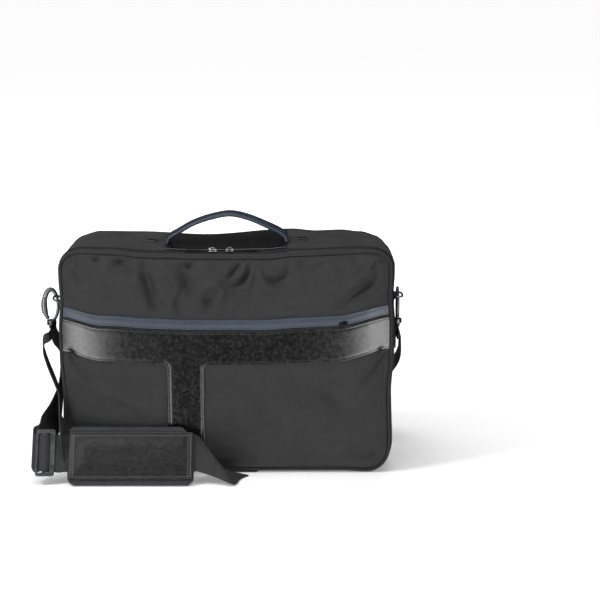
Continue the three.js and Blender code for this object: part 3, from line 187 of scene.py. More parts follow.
def outline_place(x, z, inset, y):
    """A place on the square pattern, carried to the rounded, sagging outline at a depth y."""
    x, z, y = np.broadcast_arrays(np.asarray(x, float), np.asarray(z, float), np.asarray(y, float))
    half = BAG_HEIGHT / 2
    side, rise = np.sign(x), np.sign(z - half)
    in_x = np.maximum(0, np.abs(x) - (HALF_WIDTH - CORNER_RADIUS)) / CORNER_RADIUS
    in_z = np.maximum(0, np.abs(z - half) - (half - CORNER_RADIUS)) / CORNER_RADIUS
    radius = CORNER_RADIUS - inset
    far, near = np.maximum(in_x, in_z), np.minimum(in_x, in_z)
    turn = math.pi / 4 * near / np.maximum(far, 1e-9)
    turn = np.where(in_x >= in_z, turn, math.pi / 2 - turn)
    in_corner = (in_x > 0) & (in_z > 0)
    along_x = np.where(in_corner, far * radius * np.cos(turn), in_x * radius)
    along_z = np.where(in_corner, far * radius * np.sin(turn), in_z * radius)
    flat_x = (np.minimum(np.abs(x), HALF_WIDTH - CORNER_RADIUS) + along_x) * side
    flat_z = half + (np.minimum(np.abs(z - half), half - CORNER_RADIUS) + along_z) * rise
    share_x, share_z = flat_x / BAG_WIDTH, flat_z / BAG_HEIGHT
    lifted = np.sin(math.pi * np.clip(share_z, 0, 1)) ** 0.8
    to_back = (y + HALF_DEPTH) / BAG_DEPTH
    sag = profile(TOP_SAG, share_x) * (1 - to_back) + profile(BACK_SAG, share_x) * to_back
    drop = sag * BAG_HEIGHT * share_z**2
    arch = profile(FOOT_ARCH, share_x) * STRAP_ROOM * (1 - share_z) ** 6
    wave = profile(SIDE_WAVE, share_z) * BAG_WIDTH * (2 * share_x) ** 3
    return flat_x + wave, flat_z - drop + profile(BAND_LIFT, share_x) * BAG_HEIGHT * lifted + arch


def line_distance(x, z, line):
    """Distance from places to a line of points, and how far along it, from 0 to 1."""
    line = np.array(line, float)
    lengths = np.hypot(*np.diff(line, axis=0).T)
    run = np.concatenate([[0], np.cumsum(lengths)])
    best = np.full(np.shape(x), np.inf)
    along = np.zeros(np.shape(x))
    for k, (start, end) in enumerate(zip(line[:-1], line[1:])):
        step = end - start
        t = np.clip(((x - start[0]) * step[0] + (z - start[1]) * step[1]) / (step @ step), 0, 1)
        away = np.hypot(x - start[0] - t * step[0], z - start[1] - t * step[1])
        along = np.where(away < best, (run[k] + t * lengths[k]) / run[-1], along)
        best = np.minimum(best, away)
    return best, along


def bulge_at(x, z, bulge, folds):
    """How far the cloth stands out of its outline plane, nought along the outline."""
    across_x = 1 - np.abs(2 * x / BAG_WIDTH) ** 6
    across_z = 1 - np.abs(2 * z / BAG_HEIGHT - 1) ** 4
    crown = np.maximum(0, across_x * across_z)
    shape = crown.copy()
    for x0, z0, x1, z1, spread, lift in folds:
        line = [(x0 * BAG_WIDTH, z0 * BAG_HEIGHT), (x1 * BAG_WIDTH, z1 * BAG_HEIGHT)]
        away = line_distance(x, z, line)[0] / (spread * BAG_HEIGHT)
        shape = shape + lift * np.exp(-away**2) * np.minimum(1, crown * 3)
    return bulge * shape


def run_along(path):
    """Distance along a path at each of its points."""
    return np.concatenate([[0], np.cumsum(np.linalg.norm(np.diff(path, axis=0), axis=1))])


def smooth_step(low, high, value):
    t = np.clip((value - low) / (high - low), 0, 1)
    return t * t * (3 - 2 * t)


def noise_field(x, z, seed, scale_x, scale_z):
    """Smooth noise from about -1 to 1 at places, with its own scale each way in millimetres."""
    flat = [noise.noise(Vector((a / scale_x, b / scale_z, seed))) for a, b in zip(x.ravel(), z.ravel())]
    return np.array(flat).reshape(x.shape)


def in_shares(line):
    return [(x * BAG_WIDTH, z * BAG_HEIGHT) for x, z in line]


def bare_cloth(x, z):
    """1 on the open cloth of the front, 0 under the band, leg, zip and trim."""
    band = np.maximum(BAND_LOW - z, z - TRIM_HIGH)
    leg = np.maximum(np.maximum(LEG_LEFT - x, x - LEG_RIGHT), z - BAND_LOW)
    return smooth_step(0.5, 9, np.minimum(band, leg))


def front_relief(x, z):
    """Creases, tucks, pleats and small unevenness of the front's cloth, in millimetres."""
    relief = np.zeros(x.shape)
    for line, half_width, depth in FRONT_CREASES:
        away, along = line_distance(x, z, in_shares(line))
        fade = 0.35 + 0.65 * np.sin(math.pi * np.clip(along * 0.9 + 0.05, 0, 1))
        relief += FOLD_DEPTH * depth * fade * np.exp(-((away / half_width) ** 2))
    hang = smooth_step(TRIM_HIGH + 20, BAG_HEIGHT, z)
    drift = 18 * noise_field(x, z, 3.1, 70, 70)
    relief += HANG_UNEVEN * hang * noise_field(x + drift, z, 7.7, 17, 60)
    relief += BROAD_UNEVEN * noise_field(x, z, 1.3, 52, 44) + SMALL_UNEVEN * noise_field(x, z, 5.9, 17, 14)
    relief += FINEST_UNEVEN * noise_field(x, z, 8.2, 6, 6)
    relief *= bare_cloth(x, z)
    for line in PLEATS:
        away, along = line_distance(x, z, in_shares(line))
        fade = smooth_step(0, 0.1, along) * (1 - 0.7 * along)
        relief += fade * (1.9 * np.exp(-((away / 3.4) ** 2)) - 2.4 * np.exp(-(((away - 4.2) / 2.6) ** 2)))
    for line in FRONT_TUCKS:
        away, along = line_distance(x, z, in_shares(line))
        fade = np.sin(math.pi * np.clip(along * 0.96 + 0.02, 0, 1)) ** 0.5
        relief += fade * (0.7 * np.exp(-((away / 6) ** 2)) - 3.0 * np.exp(-((away / 1.5) ** 2)))
    edge = np.minimum(HALF_WIDTH - np.abs(x), BAG_HEIGHT / 2 - np.abs(z - BAG_HEIGHT / 2))
    return relief * smooth_step(-1, 8, edge)


def back_relief(x, z):
    edge = np.minimum(HALF_WIDTH - np.abs(x), BAG_HEIGHT / 2 - np.abs(z - BAG_HEIGHT / 2))
    left = HALF_WIDTH - BACK_BAND_INSET - BACK_BAND_WIDTH
    right = HALF_WIDTH - BACK_BAND_INSET + ZIP_HEIGHT + BACK_TRIM_WIDTH
    open_cloth = smooth_step(0.5, 9, np.maximum(left - x, x - right))
    relief = 1.3 * noise_field(x, z, 21.3, 60, 48) + 0.35 * noise_field(x, z, 25.9, 18, 15)
    return relief * open_cloth * smooth_step(0, 10, edge)


def panel_points(x, z, facing, bulge, folds, out):
    """Points of a face panel at pattern places, out of the cloth by out."""
    place_x, place_z = outline_place(x, z, 2 * PIPE_RADIUS + GAP, facing * HALF_DEPTH)
    y = facing * (HALF_DEPTH + CLOTH_WALL / 2 + bulge_at(x, z, bulge, folds) + out)
    return np.stack([place_x, y, place_z], -1)


def front_points(x, z, out):
    return panel_points(x, z, -1, FRONT_BULGE, FRONT_FOLDS, out)


def steps(low, high, size):
    return np.linspace(low, high, max(2, int(round((high - low) / size)) + 1))


# Meshes

def new_object(name, mesh, look, body="bag", replaces=()):
    obj = bpy.data.objects.new(name, mesh)
    bpy.context.scene.collection.objects.link(obj)
    mesh.materials.clear()
    mesh.materials.append(look)
    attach(obj, body)
    if replaces:
        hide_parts(*replaces)
    return obj


def mesh_from(name, parts):
    """One mesh from parts of (points, faces, cloth places or None). Points are in bag millimetres."""
    points, faces, places, start = [], [], [], 0
    for part_points, part_faces, part_places in parts:
        part_points = np.asarray(part_points, float).reshape(-1, 3)
        points.append(part_points)
        faces += [[start + i for i in face] for face in part_faces]
        if part_places is None:
            part_places = part_points
        part_places = np.asarray(part_places, float)
        places.append(part_places.reshape(len(part_points), -1))
        start += len(part_points)
    points = to_world(np.concatenate(points))
    mesh = bpy.data.meshes.new(name)
    mesh.from_pydata(points.tolist(), [], faces)
    flat = np.zeros((len(points), 3))
    row = 0
    for block in places:
        flat[row:row + len(block), :block.shape[1]] = block
        row += len(block)
    layer = mesh.attributes.new("cloth", "FLOAT_VECTOR", "POINT")
    layer.data.foreach_set("vector", (flat * MM).ravel())
    mesh.polygons.foreach_set("use_smooth", [True] * len(mesh.polygons))
    mesh.update()
    return mesh


def grid_faces(rows, columns, wrap=False, turn=False):
    index = np.arange(rows * columns).reshape(rows, columns)
    if wrap:
        index = np.hstack([index, index[:, :1]])
    quads = np.stack([index[:-1, :-1], index[:-1, 1:], index[1:, 1:], index[1:, :-1]], -1).reshape(-1, 4)
    return (quads[:, ::-1] if turn else quads).tolist()


def grid_part(points, places=None, wrap=False, turn=False):
    rows, columns = points.shape[:2]
    return points, grid_faces(rows, columns, wrap, turn), places


def unit(vectors):
    vectors = np.asarray(vectors, float)
    return vectors / np.maximum(np.linalg.norm(vectors, axis=-1, keepdims=True), 1e-12)


def tube_part(path, radius, sides=12, closed=False, aside=None, deep=None, ends=(None, None)):
    """Round tube along points. radius may be a list. aside is the normal of the path's plane, where it
    has one, and deep the half width along it where it isn't the radius. An end can be cut to face a way."""
    path = np.asarray(path, float)
    count = len(path)
    if closed:
        along = np.roll(path, -1, 0) - np.roll(path, 1, 0)
    else:
        along = np.gradient(path, axis=0)
    along = unit(along)
    if aside is None:
        aside = np.zeros((count, 3))
        start = np.cross(along[0], [0.31, 0.27, 0.91])
        aside[0] = unit(start)
        for k in range(1, count):
            aside[k] = unit(aside[k - 1] - along[k] * (aside[k - 1] @ along[k]))
    else:
        aside = np.broadcast_to(np.asarray(aside, float), (count, 3))
    across = unit(np.cross(aside, along))
    radius = np.broadcast_to(np.asarray(radius, float), (count,))[:, None, None]
    angle = np.linspace(0, 2 * math.pi, sides, endpoint=False)[None, :, None]
    depth = radius if deep is None else deep
    points = path[:, None] + np.cos(angle) * across[:, None] * radius + np.sin(angle) * aside[:, None] * depth
    for k, facing in zip((0, -1), ends):
        if facing is not None:
            lean = (points[k] - path[k]) @ facing / (along[k] @ facing)
            points[k] -= lean[:, None] * along[k]
    run = run_along(path)
    places = np.zeros((count, sides, 3))
    places[..., 0] = run[:, None]
    places[..., 1] = np.arange(sides)[None] / sides * 2 * math.pi * float(radius.mean())
    if closed:
        points = np.concatenate([points, points[:1]])
        places = np.concatenate([places, places[:1]])
    faces = grid_faces(len(points), sides, wrap=True)
    flat = points.reshape(-1, 3)
    if not closed:
        faces += [list(range(sides))[::-1], [(count - 1) * sides + s for s in range(sides)]]
    return flat, faces, places.reshape(-1, 3)


def lathe_part(outline, centre, axis=(0, 0, 1), sides=20):
    """Solid of revolution from (radius, height) rows about an axis through centre."""
    axis = unit(axis)
    first = unit(np.cross(axis, [0.2, 0.9, 0.33] if abs(axis[1]) < 0.8 else [1, 0, 0]))
    second = np.cross(axis, first)
    angle = np.linspace(0, 2 * math.pi, sides, endpoint=False)
    rows = [
        np.asarray(centre) + axis * height
        + radius * (np.cos(angle)[:, None] * first + np.sin(angle)[:, None] * second)
        for radius, height in outline
    ]
    return grid_part(np.array(rows), None, wrap=True)


def bead_part(start, end, lift, radius, sides=6):
    """A stitch: a short thread bead from start to end, its ends sunk against lift."""
    start, end, lift = (np.asarray(v, float) for v in (start, end, lift))
    shares = np.array([0.0, 0.16, 0.5, 0.84, 1.0])
    sink = np.array([-0.9, -0.15, 0.1, -0.15, -0.9]) * radius
    thick = np.array([0.45, 0.95, 1.05, 0.95, 0.45]) * radius
    path = start + (end - start) * shares[:, None] + lift * sink[:, None]
    along = unit(end - start)
    across = unit(np.cross(lift, along))
    up = np.cross(along, across)
    angle = np.linspace(0, 2 * math.pi, sides, endpoint=False)
    ring = np.cos(angle)[:, None] * across + np.sin(angle)[:, None] * up
    points = path[:, None] + ring[None] * thick[:, None, None]
    faces = grid_faces(len(shares), sides, wrap=True)
    return points.reshape(-1, 3), faces, None


def resample(path, spacing):
    """Points at an even spacing along a path, with any extra columns carried along."""
    path = np.asarray(path, float)
    run = run_along(path[:, :3])
    count = max(2, int(round(run[-1] / spacing)) + 1)
    at = np.linspace(0, run[-1], count)
    return np.stack([np.interp(at, run, column) for column in path.T], -1)


# Stitches: pitch, share of it that shows, and thread radius
STITCH_PITCH, STITCH_SHARE, STITCH_RADIUS = 3.4, 0.70, 0.36


def stitches(name, paths, look):
    """Rows of stitches. Each path holds points and outward directions side by side."""
    parts = []
    for path in paths:
        fine = resample(path, STITCH_PITCH)
        for here, ahead in zip(fine[:-1], fine[1:]):
            end = here + (ahead - here) * STITCH_SHARE
            parts.append(bead_part(here[:3], end[:3], unit(here[3:6] + ahead[3:6]), STITCH_RADIUS))
    return new_object(name, mesh_from(name, parts), look)


# Materials

class Look:
    """A procedural material: a Principled shader and short ways to feed it."""

    def __init__(self, name, **sockets):
        self.material = bpy.data.materials.new(name)
        self.material.use_nodes = True
        self.tree = self.material.node_tree
        self.shader = self.tree.nodes["Principled BSDF"]
        for socket, value in sockets.items():
            self.shader.inputs[socket.replace("_", " ")].default_value = value

    def node(self, kind, *inputs, **settings):
        made = self.tree.nodes.new(kind)
        for key, value in settings.items():
            setattr(made, key, value)
        for socket, value in inputs:
            self.feed(made.inputs[socket], value)
        return made

    def feed(self, socket, value):
        if isinstance(value, bpy.types.NodeSocket):
            self.tree.links.new(value, socket)
        else:
            socket.default_value = value

    def math(self, operation, first, second=0.0):
        return self.node("ShaderNodeMath", (0, first), (1, second), operation=operation).outputs[0]

    def cloth(self):
        return self.node("ShaderNodeAttribute", attribute_name="cloth").outputs["Vector"]

    def place(self):
        return self.node("ShaderNodeTexCoord").outputs["Object"]

    def scaled(self, vector, x, y, z=1.0):
        return self.node("ShaderNodeVectorMath", (0, vector), (1, (x, y, z)), operation="MULTIPLY").outputs[0]

    def noise(self, vector, scale, detail=2.0, rough=0.5):
        made = self.node(
            "ShaderNodeTexNoise", ("Vector", vector), ("Scale", scale),
            ("Detail", detail), ("Roughness", rough))
        return made.outputs["Fac"]

    def cells(self, vector, scale, feature="DISTANCE_TO_EDGE"):
        made = self.node("ShaderNodeTexVoronoi", ("Vector", vector), ("Scale", scale), feature=feature)
        return made.outputs["Distance"]

    def spread(self, value, low, high, to_low=0.0, to_high=1.0):
        made = self.node(
            "ShaderNodeMapRange", ("Value", value), ("From Min", low), ("From Max", high),
            ("To Min", to_low), ("To Max", to_high))
        return made.outputs["Result"]

    def mix(self, share, first, second):
        made = self.node("ShaderNodeMix", data_type="RGBA")
        for socket, value in ((made.inputs[0], share), (made.inputs[6], first), (made.inputs[7], second)):
            self.feed(socket, value)
        return made.outputs[2]

    def weave(self, vector, pitch_along, pitch_across):
        """Height of a plain weave, and which threads lie on top, from 0 to 1."""
        parts = self.node("ShaderNodeSeparateXYZ", (0, vector)).outputs
        along = self.math("SINE", self.math("MULTIPLY", parts[0], math.pi / (pitch_along * MM)))
        across = self.math("SINE", self.math("MULTIPLY", parts[1], math.pi / (pitch_across * MM)))
        product = self.math("MULTIPLY", along, across)
        height = self.math("POWER", self.math("ABSOLUTE", product), 0.5)
        return height, self.spread(product, -0.3, 0.3)

    def bump(self, *layers):
        """Bump layers of (height, depth in millimetres), one on the other."""
        normal = None
        for height, depth in layers:
            made = self.node(
                "ShaderNodeBump", ("Height", height), ("Strength", 1.0), ("Distance", depth * MM))
            if normal is not None:
                self.tree.links.new(normal, made.inputs["Normal"])
            normal = made.outputs["Normal"]
        self.tree.links.new(normal, self.shader.inputs["Normal"])

    def set(self, **sockets):
        for socket, value in sockets.items():
            self.feed(self.shader.inputs[socket.replace("_", " ")], value)
        return self.material


def rgb(red, green, blue):
    """Linear colour from an 8-bit one."""
    def linear(value):
        share = value / 255
        return share / 12.92 if share <= 0.04045 else ((share + 0.055) / 1.055) ** 2.4
    return linear(red), linear(green), linear(blue), 1.0


def fabric_look(name, dark, light, pitch=0.95):
    look = Look(name, Sheen_Weight=0.03, Sheen_Roughness=0.4, Specular_IOR_Level=0.25)
    at = look.cloth()
    height, over = look.weave(at, pitch, pitch)
    slub = look.noise(look.scaled(at, 1.0, 0.16), 900.0, 2.0)
    slub_across = look.noise(look.scaled(at, 0.16, 1.0), 900.0, 2.0)
    mottle = look.noise(look.place(), 26.0, 3.0)
    share = look.math(
        "ADD", look.math("MULTIPLY", over, 0.25),
        look.math("MULTIPLY", look.math("ADD", slub, slub_across), 0.4))
    share = look.math("ADD", share, look.spread(mottle, 0.3, 0.7, -0.18, 0.18))
    colour = look.mix(share, dark, light)
    look.bump((look.spread(slub, 0.3, 0.7), 0.10), (height, 0.16))
    return look.set(Base_Color=colour, Roughness=look.spread(mottle, 0.3, 0.7, 0.62, 0.78))


def leather_look(name, dark, light, rough=0.36, grain=0.012):
    look = Look(name, Specular_IOR_Level=0.5)
    at = look.place()
    pores = look.cells(at, 900.0)
    fine = look.noise(at, 1800.0, 2.0)
    broad = look.noise(at, 34.0, 3.0)
    worn = look.noise(at, 210.0, 4.0, 0.6)
    colour = look.mix(look.spread(look.math("ADD", broad, worn), 0.75, 1.25), dark, light)
    look.bump((broad, 0.25), (look.spread(pores, 0.0, 0.12), grain), (fine, 0.0015))
    return look.set(Base_Color=colour, Roughness=look.spread(worn, 0.3, 0.7, rough - 0.05, rough + 0.07))


def webbing_look(name, dark, light):
    look = Look(name, Sheen_Weight=0.03, Sheen_Roughness=0.4, Specular_IOR_Level=0.3)
    at = look.cloth()
    height, over = look.weave(at, 1.1, 1.6)
    fuzz = look.noise(look.scaled(at, 0.3, 1.0), 1500.0, 2.0)
    broad = look.noise(look.place(), 40.0, 2.0)
    share = look.math("ADD", look.math("MULTIPLY", over, 0.3), look.math("MULTIPLY", fuzz, 0.5))
    share = look.math("ADD", share, look.spread(broad, 0.3, 0.7, -0.12, 0.2))
    look.bump((look.spread(fuzz, 0.3, 0.7), 0.08), (height, 0.30))
    return look.set(
        Base_Color=look.mix(share, dark, light), Roughness=look.spread(fuzz, 0.3, 0.7, 0.58, 0.74))


def metal_look(name, dark, light, rough=0.34):
    look = Look(name, Metallic=1.0)
    at = look.place()
    scuff = look.noise(look.scaled(at, 1.0, 1.0, 0.3), 420.0, 4.0, 0.65)
    broad = look.noise(at, 60.0, 2.0)
    colour = look.mix(look.spread(look.math("ADD", scuff, broad), 0.8, 1.2), dark, light)
    look.bump((scuff, 0.02))
    return look.set(Base_Color=colour, Roughness=look.spread(scuff, 0.3, 0.7, rough - 0.06, rough + 0.1))


def thread_look(name, dark, light):
    look = Look(name, Sheen_Weight=0.2, Specular_IOR_Level=0.35)
    at = look.place()
    twist = look.node(
        "ShaderNodeTexWave", ("Vector", at), ("Scale", 900.0), ("Distortion", 1.5),
        bands_direction="DIAGONAL").outputs["Fac"]
    look.bump((twist, 0.08))
    return look.set(Base_Color=look.mix(twist, dark, light), Roughness=look.spread(twist, 0, 1, 0.5, 0.65))


CLOTH = fabric_look("ballistic_cloth", rgb(19, 19, 20), rgb(50, 50, 51))
PIPING = fabric_look("piping_cloth", rgb(16, 16, 17), rgb(44, 44, 46), pitch=0.8)
LEATHER = leather_look("black_leather", rgb(9, 9, 10), rgb(17, 17, 18), rough=0.25, grain=0.001)
PAD_LEATHER = leather_look("pad_leather_black", rgb(11, 11, 12), rgb(21, 21, 22), rough=0.34, grain=0.005)
SLATE = leather_look("slate_leather", rgb(13, 25, 39), rgb(27, 41, 58), rough=0.46, grain=0.02)
WEBBING = webbing_look("strap_webbing_weave", rgb(25, 25, 26), rgb(54, 54, 56))
BINDING = webbing_look("binding_weave", rgb(30, 31, 33), rgb(62, 63, 66))
TAPE = webbing_look("zip_tape", rgb(14, 14, 16), rgb(30, 30, 33))
GUNMETAL = metal_look("gunmetal", (0.055, 0.057, 0.062, 1), (0.12, 0.123, 0.13, 1))
SILVER = metal_look("slider_metal", (0.10, 0.10, 0.105, 1), (0.34, 0.34, 0.355, 1), rough=0.24)
BLACK_METAL = metal_look("black_metal", (0.012, 0.012, 0.013, 1), (0.03, 0.03, 0.033, 1), rough=0.3)
THREAD = thread_look("black_thread", rgb(22, 22, 24), rgb(52, 52, 55))
PALE_THREAD = thread_look("grey_thread", rgb(80, 81, 83), rgb(140, 141, 144))
SLATE_THREAD = thread_look("slate_thread", rgb(14, 20, 30), rgb(30, 40, 54))


# Face panels

def cloth_panel(name, node, facing, bulge, folds, relief, step):
    xs = steps(-HALF_WIDTH, HALF_WIDTH, step)
    zs = steps(0, BAG_HEIGHT, step)
    x, z = np.meshgrid(np.concatenate([xs[:1], xs, xs[-1:]]), np.concatenate([zs[:1], zs, zs[-1:]]))
    out = relief(x, z)
    out[0] = out[-1] = out[:, 0] = out[:, -1] = -CLOTH_WALL
    points = panel_points(x, z, facing, bulge, folds, out)
    mesh = mesh_from(name, [grid_part(points, np.stack([x, z], -1), turn=facing > 0)])
    return new_object(name, mesh, CLOTH, replaces=[node])


cloth_panel("front_cloth", "front_panel", -1, FRONT_BULGE, FRONT_FOLDS, front_relief, 2.0)
cloth_panel("back_cloth", "back_panel", 1, BACK_BULGE, BACK_FOLDS, back_relief, 3.0)


# Height at which the skirts of leather pieces end, just over the cloth
SKIRT_OUT = 0.05


def rolled(distance, wall, roll=1.1, groove_at=3.2):
    """Height over the cloth of a leather piece, rolled over at its cut edge and pressed in along its
    stitches. distance is the distance from that edge."""
    share = np.clip(distance / roll, 0, 1)
    top = GAP + wall * np.sqrt(1 - (1 - share) ** 2)
    groove = 0.30 * np.exp(-(((distance - groove_at) / 0.8) ** 2))
    return top - groove + 0.12 * smooth_step(groove_at, 7, distance)


def edged_steps(low, high, size, fine=(0.0, 0.12, 0.35, 0.7, 1.1, 1.8, 2.6, 3.2, 3.8, 4.8)):
    """Steps across a strip that are close together along both of its edges."""
    width = high - low
    near_edge = [f for f in fine if f < width / 2]
    inner = steps(low + near_edge[-1], high - near_edge[-1], size)[1:-1]
    return np.array([low + f for f in near_edge] + list(inner) + [high - f for f in near_edge[::-1]])


def strip_grid(us, low, high, size, wall):
    """Pattern places and heights of a strip, with a skirt down to the cloth along its two v edges."""
    vs = edged_steps(low, high, size)
    u, v = np.meshgrid(us, np.concatenate([vs[:1], vs, vs[-1:]]))
    out = rolled(np.minimum(v - low, high - v), wall)
    out[0] = out[-1] = SKIRT_OUT
    return u, v, out


def edge_path(us, v_at, out, facing=-1, bulge=FRONT_BULGE, folds=FRONT_FOLDS, swap=False):
    """Path with outward directions along a line of the pattern, for stitches."""
    us = np.asarray(us, float)
    vs = np.broadcast_to(np.asarray(v_at, float), us.shape)
    x, z = (vs, us) if swap else (us, vs)
    points = panel_points(x, z, facing, bulge, folds, out)
    lift = np.broadcast_to(np.array([0.0, facing, 0.0]), points.shape)
    return np.concatenate([points, lift], 1)


def front_strip(name, node, low, high, wall, look):
    us = steps(-HALF_WIDTH, HALF_WIDTH, 2.5)
    u, v, out = strip_grid(us, low, high, 2.0, wall)
    points = front_points(u, v, out)
    mesh = mesh_from(name, [grid_part(points, np.stack([u, v], -1))])
    return new_object(name, mesh, look, replaces=[node])


front_strip(
    "front_trim_leather", "front_zip_trim", ZIP_HIGH - 1.2, TRIM_HIGH, LEATHER_WALL, SLATE)
edge_run = steps(-HALF_WIDTH, HALF_WIDTH, 3)
STITCH_INSET = 3.0
stitch_out = GAP + LEATHER_WALL - 0.05
stitches(
    "front_trim_stitches", [edge_path(edge_run, TRIM_HIGH - 2.6, stitch_out)], SLATE_THREAD)


def band_distance(x, z):
    """Distance from the edge of the band with its leg, whose inner corners are filleted."""
    left = LEG_LEFT - LEG_FILLET
    mirrored = np.where(x < LEG_OFFSET, x, 2 * LEG_OFFSET - x)
    corner_z = BAND_LOW - LEG_FILLET
    low = np.where(
        mirrored < left, z - BAND_LOW,
        np.where(z < corner_z, mirrored - LEG_LEFT, np.hypot(mirrored - left, z - corner_z) - LEG_FILLET))
    return np.maximum(0, np.minimum(low, BAND_HIGH - z))


def band_mesh():
    left, right = LEG_LEFT - LEG_FILLET, LEG_RIGHT + LEG_FILLET
    across = edged_steps(0, 1, 0.04, fine=(0.0, 0.004, 0.01, 0.018, 0.028, 0.045, 0.065, 0.085, 0.105, 0.13))
    xs = np.concatenate([
        steps(-HALF_WIDTH, left, 2.5)[:-1], left + (right - left) * across,
        steps(right, HALF_WIDTH, 2.5)[1:]])
    zs = edged_steps(BAND_LOW, BAND_HIGH, 2.0)
    x, z = np.meshgrid(xs, np.concatenate([zs, zs[-1:]]))
    out = rolled(band_distance(x, z), LEATHER_WALL)
    out[-1] = SKIRT_OUT
    band = (front_points(x, z, out), x, z)
    falls = np.concatenate([
        [0, 0.15, 0.4, 0.8, 1.3, 1.9, 2.6, 3.4, 4.3, 5.2, 6.1, 7.0], steps(7, BAND_LOW, 3.0)[1:]])
    leg_z = BAND_LOW - falls
    inward = LEG_FILLET - np.minimum(falls, LEG_FILLET)
    flare = LEG_FILLET - np.sqrt(np.maximum(0, LEG_FILLET**2 - inward**2))
    low_x, high_x = LEG_LEFT - flare, LEG_RIGHT + flare
    share = np.concatenate([[0], across, [1]])
    x = low_x[:, None] + (high_x - low_x)[:, None] * share
    z = np.broadcast_to(leg_z[:, None], x.shape)
    out = rolled(band_distance(x, z), LEATHER_WALL)
    out[1:, 0] = out[1:, -1] = SKIRT_OUT
    leg = (front_points(x, z, out), x, z)
    parts = [
        grid_part(p, np.stack([x, z], -1), turn=turn) for (p, x, z), turn in ((band, False), (leg, True))]
    mesh = mesh_from("front_leather_band", parts)
    return welded(mesh)


def welded(mesh, distance=0.02):
    shape = bmesh.new()
    shape.from_mesh(mesh)
    bmesh.ops.remove_doubles(shape, verts=shape.verts, dist=distance * MM)
    shape.to_mesh(mesh)
    shape.free()
    return mesh


new_object("front_leather_band", band_mesh(), LEATHER, replaces=["front_band"])


def band_stitch_paths(inset):
    """Stitch rows along the band's edges, round the fillets and down the leg."""
    left, right = LEG_LEFT - LEG_FILLET, LEG_RIGHT + LEG_FILLET
    corner_z = BAND_LOW - LEG_FILLET
    turns = np.linspace(math.pi / 2, 0, 8)
    radius = LEG_FILLET + inset
    half = [(x, BAND_LOW + inset) for x in steps(-HALF_WIDTH, left, 3)[:-1]]
    half += [(left + radius * math.cos(a), corner_z + radius * math.sin(a)) for a in turns]
    half += [(LEG_LEFT + inset, z) for z in steps(0, corner_z, 3)[::-1][1:]]
    other = [(2 * LEG_OFFSET - x, z) for x, z in half if 2 * LEG_OFFSET - x < HALF_WIDTH]
    other = [(x, BAND_LOW + inset) for x in steps(other[0][0], HALF_WIDTH, 3)[::-1][:-1]] + other
    paths = []
    for line in (half, other):
        x, z = np.array(line).T
        points = front_points(x, z, stitch_out)
        paths.append(np.concatenate([points, np.broadcast_to([0.0, -1.0, 0.0], points.shape)], 1))
    return paths


band_rows = band_stitch_paths(STITCH_INSET) + [edge_path(edge_run, BAND_HIGH - STITCH_INSET, stitch_out)]
stitches("band_stitches", band_rows, THREAD)


def front_zip_piece():
    """Closed zip in the gap between band and trim: tape and coil."""
    us = steps(-HALF_WIDTH + 6, HALF_WIDTH - 6, 3)
    vs = np.array([BAND_HIGH - 0.6, BAND_HIGH, BAND_HIGH + 1.0, BAND_HIGH + 2.0, ZIP_HIGH - 1.0, ZIP_HIGH])
    u, v = np.meshgrid(us, vs)
    out = np.broadcast_to(np.array([0.2, 0.35, 0.5, 0.55, 0.5, 0.3])[:, None], u.shape)
    parts = [grid_part(front_points(u, v, out), np.stack([u, v], -1))]
    run = edge_path(us, BAND_HIGH + 1.6, 0.95)
    parts.append(tube_part(run[:, :3], 0.75, 8))
    mesh = mesh_from("front_zip_tape", parts)
    return new_object("front_zip_tape", mesh, TAPE, replaces=["front_zip"])


front_zip_piece()

# Back face: trim and band run upright beside one short end
back_left = HALF_WIDTH - BACK_BAND_INSET - BACK_BAND_WIDTH
back_right = HALF_WIDTH - BACK_BAND_INSET
back_trim_low = back_right + ZIP_HEIGHT


def back_strip(name, node, low, high, look, thread):
    us = steps(0, BAG_HEIGHT, 3)
    u, v, out = strip_grid(us, low, high, 3.0, LEATHER_WALL)
    points = panel_points(v, u, 1, BACK_BULGE, BACK_FOLDS, out)
    new_object(name, mesh_from(name, [grid_part(points, np.stack([v, u], -1))]), look, replaces=[node])
    rows = [
        edge_path(us, at, stitch_out, 1, BACK_BULGE, BACK_FOLDS, swap=True)
        for at in (low + STITCH_INSET, high - STITCH_INSET)
    ]
    stitches(name + "_stitches", rows, thread)


back_strip("back_leather_band", "back_band", back_left, back_right, LEATHER, THREAD)
back_strip(
    "back_trim_leather", "back_zip_trim", back_trim_low, back_trim_low + BACK_TRIM_WIDTH,
    SLATE, SLATE_THREAD)


# Outline loops: pipings and gusset

def loop_places(step):
    """Pattern places round the outline from the bottom left corner, anticlockwise from the front."""
    xs, zs = steps(-HALF_WIDTH, HALF_WIDTH, step), steps(0, BAG_HEIGHT, step)
    places = [(x, 0.0) for x in xs] + [(HALF_WIDTH, z) for z in zs[1:]]
    places += [(x, BAG_HEIGHT) for x in xs[-2::-1]] + [(-HALF_WIDTH, z) for z in zs[-2:0:-1]]
    return np.array(places)


def piping(name, node, y):
    places = loop_places(2.5)
    x, z = outline_place(places[:, 0], places[:, 1], PIPE_RADIUS, y)
    path = np.stack([x, np.full(len(x), y), z], -1)
    mesh = mesh_from(name, [tube_part(path, PIPE_RADIUS, 14, closed=True, aside=(0, 1, 0))])
    return new_object(name, mesh, PIPING, replaces=[node])


piping("front_piping_cord", "front_piping", -HALF_DEPTH)
piping("back_piping_cord", "back_piping", HALF_DEPTH)


def across_gusset(y):
    return 1 - (np.asarray(y, float) / HALF_DEPTH) ** 4


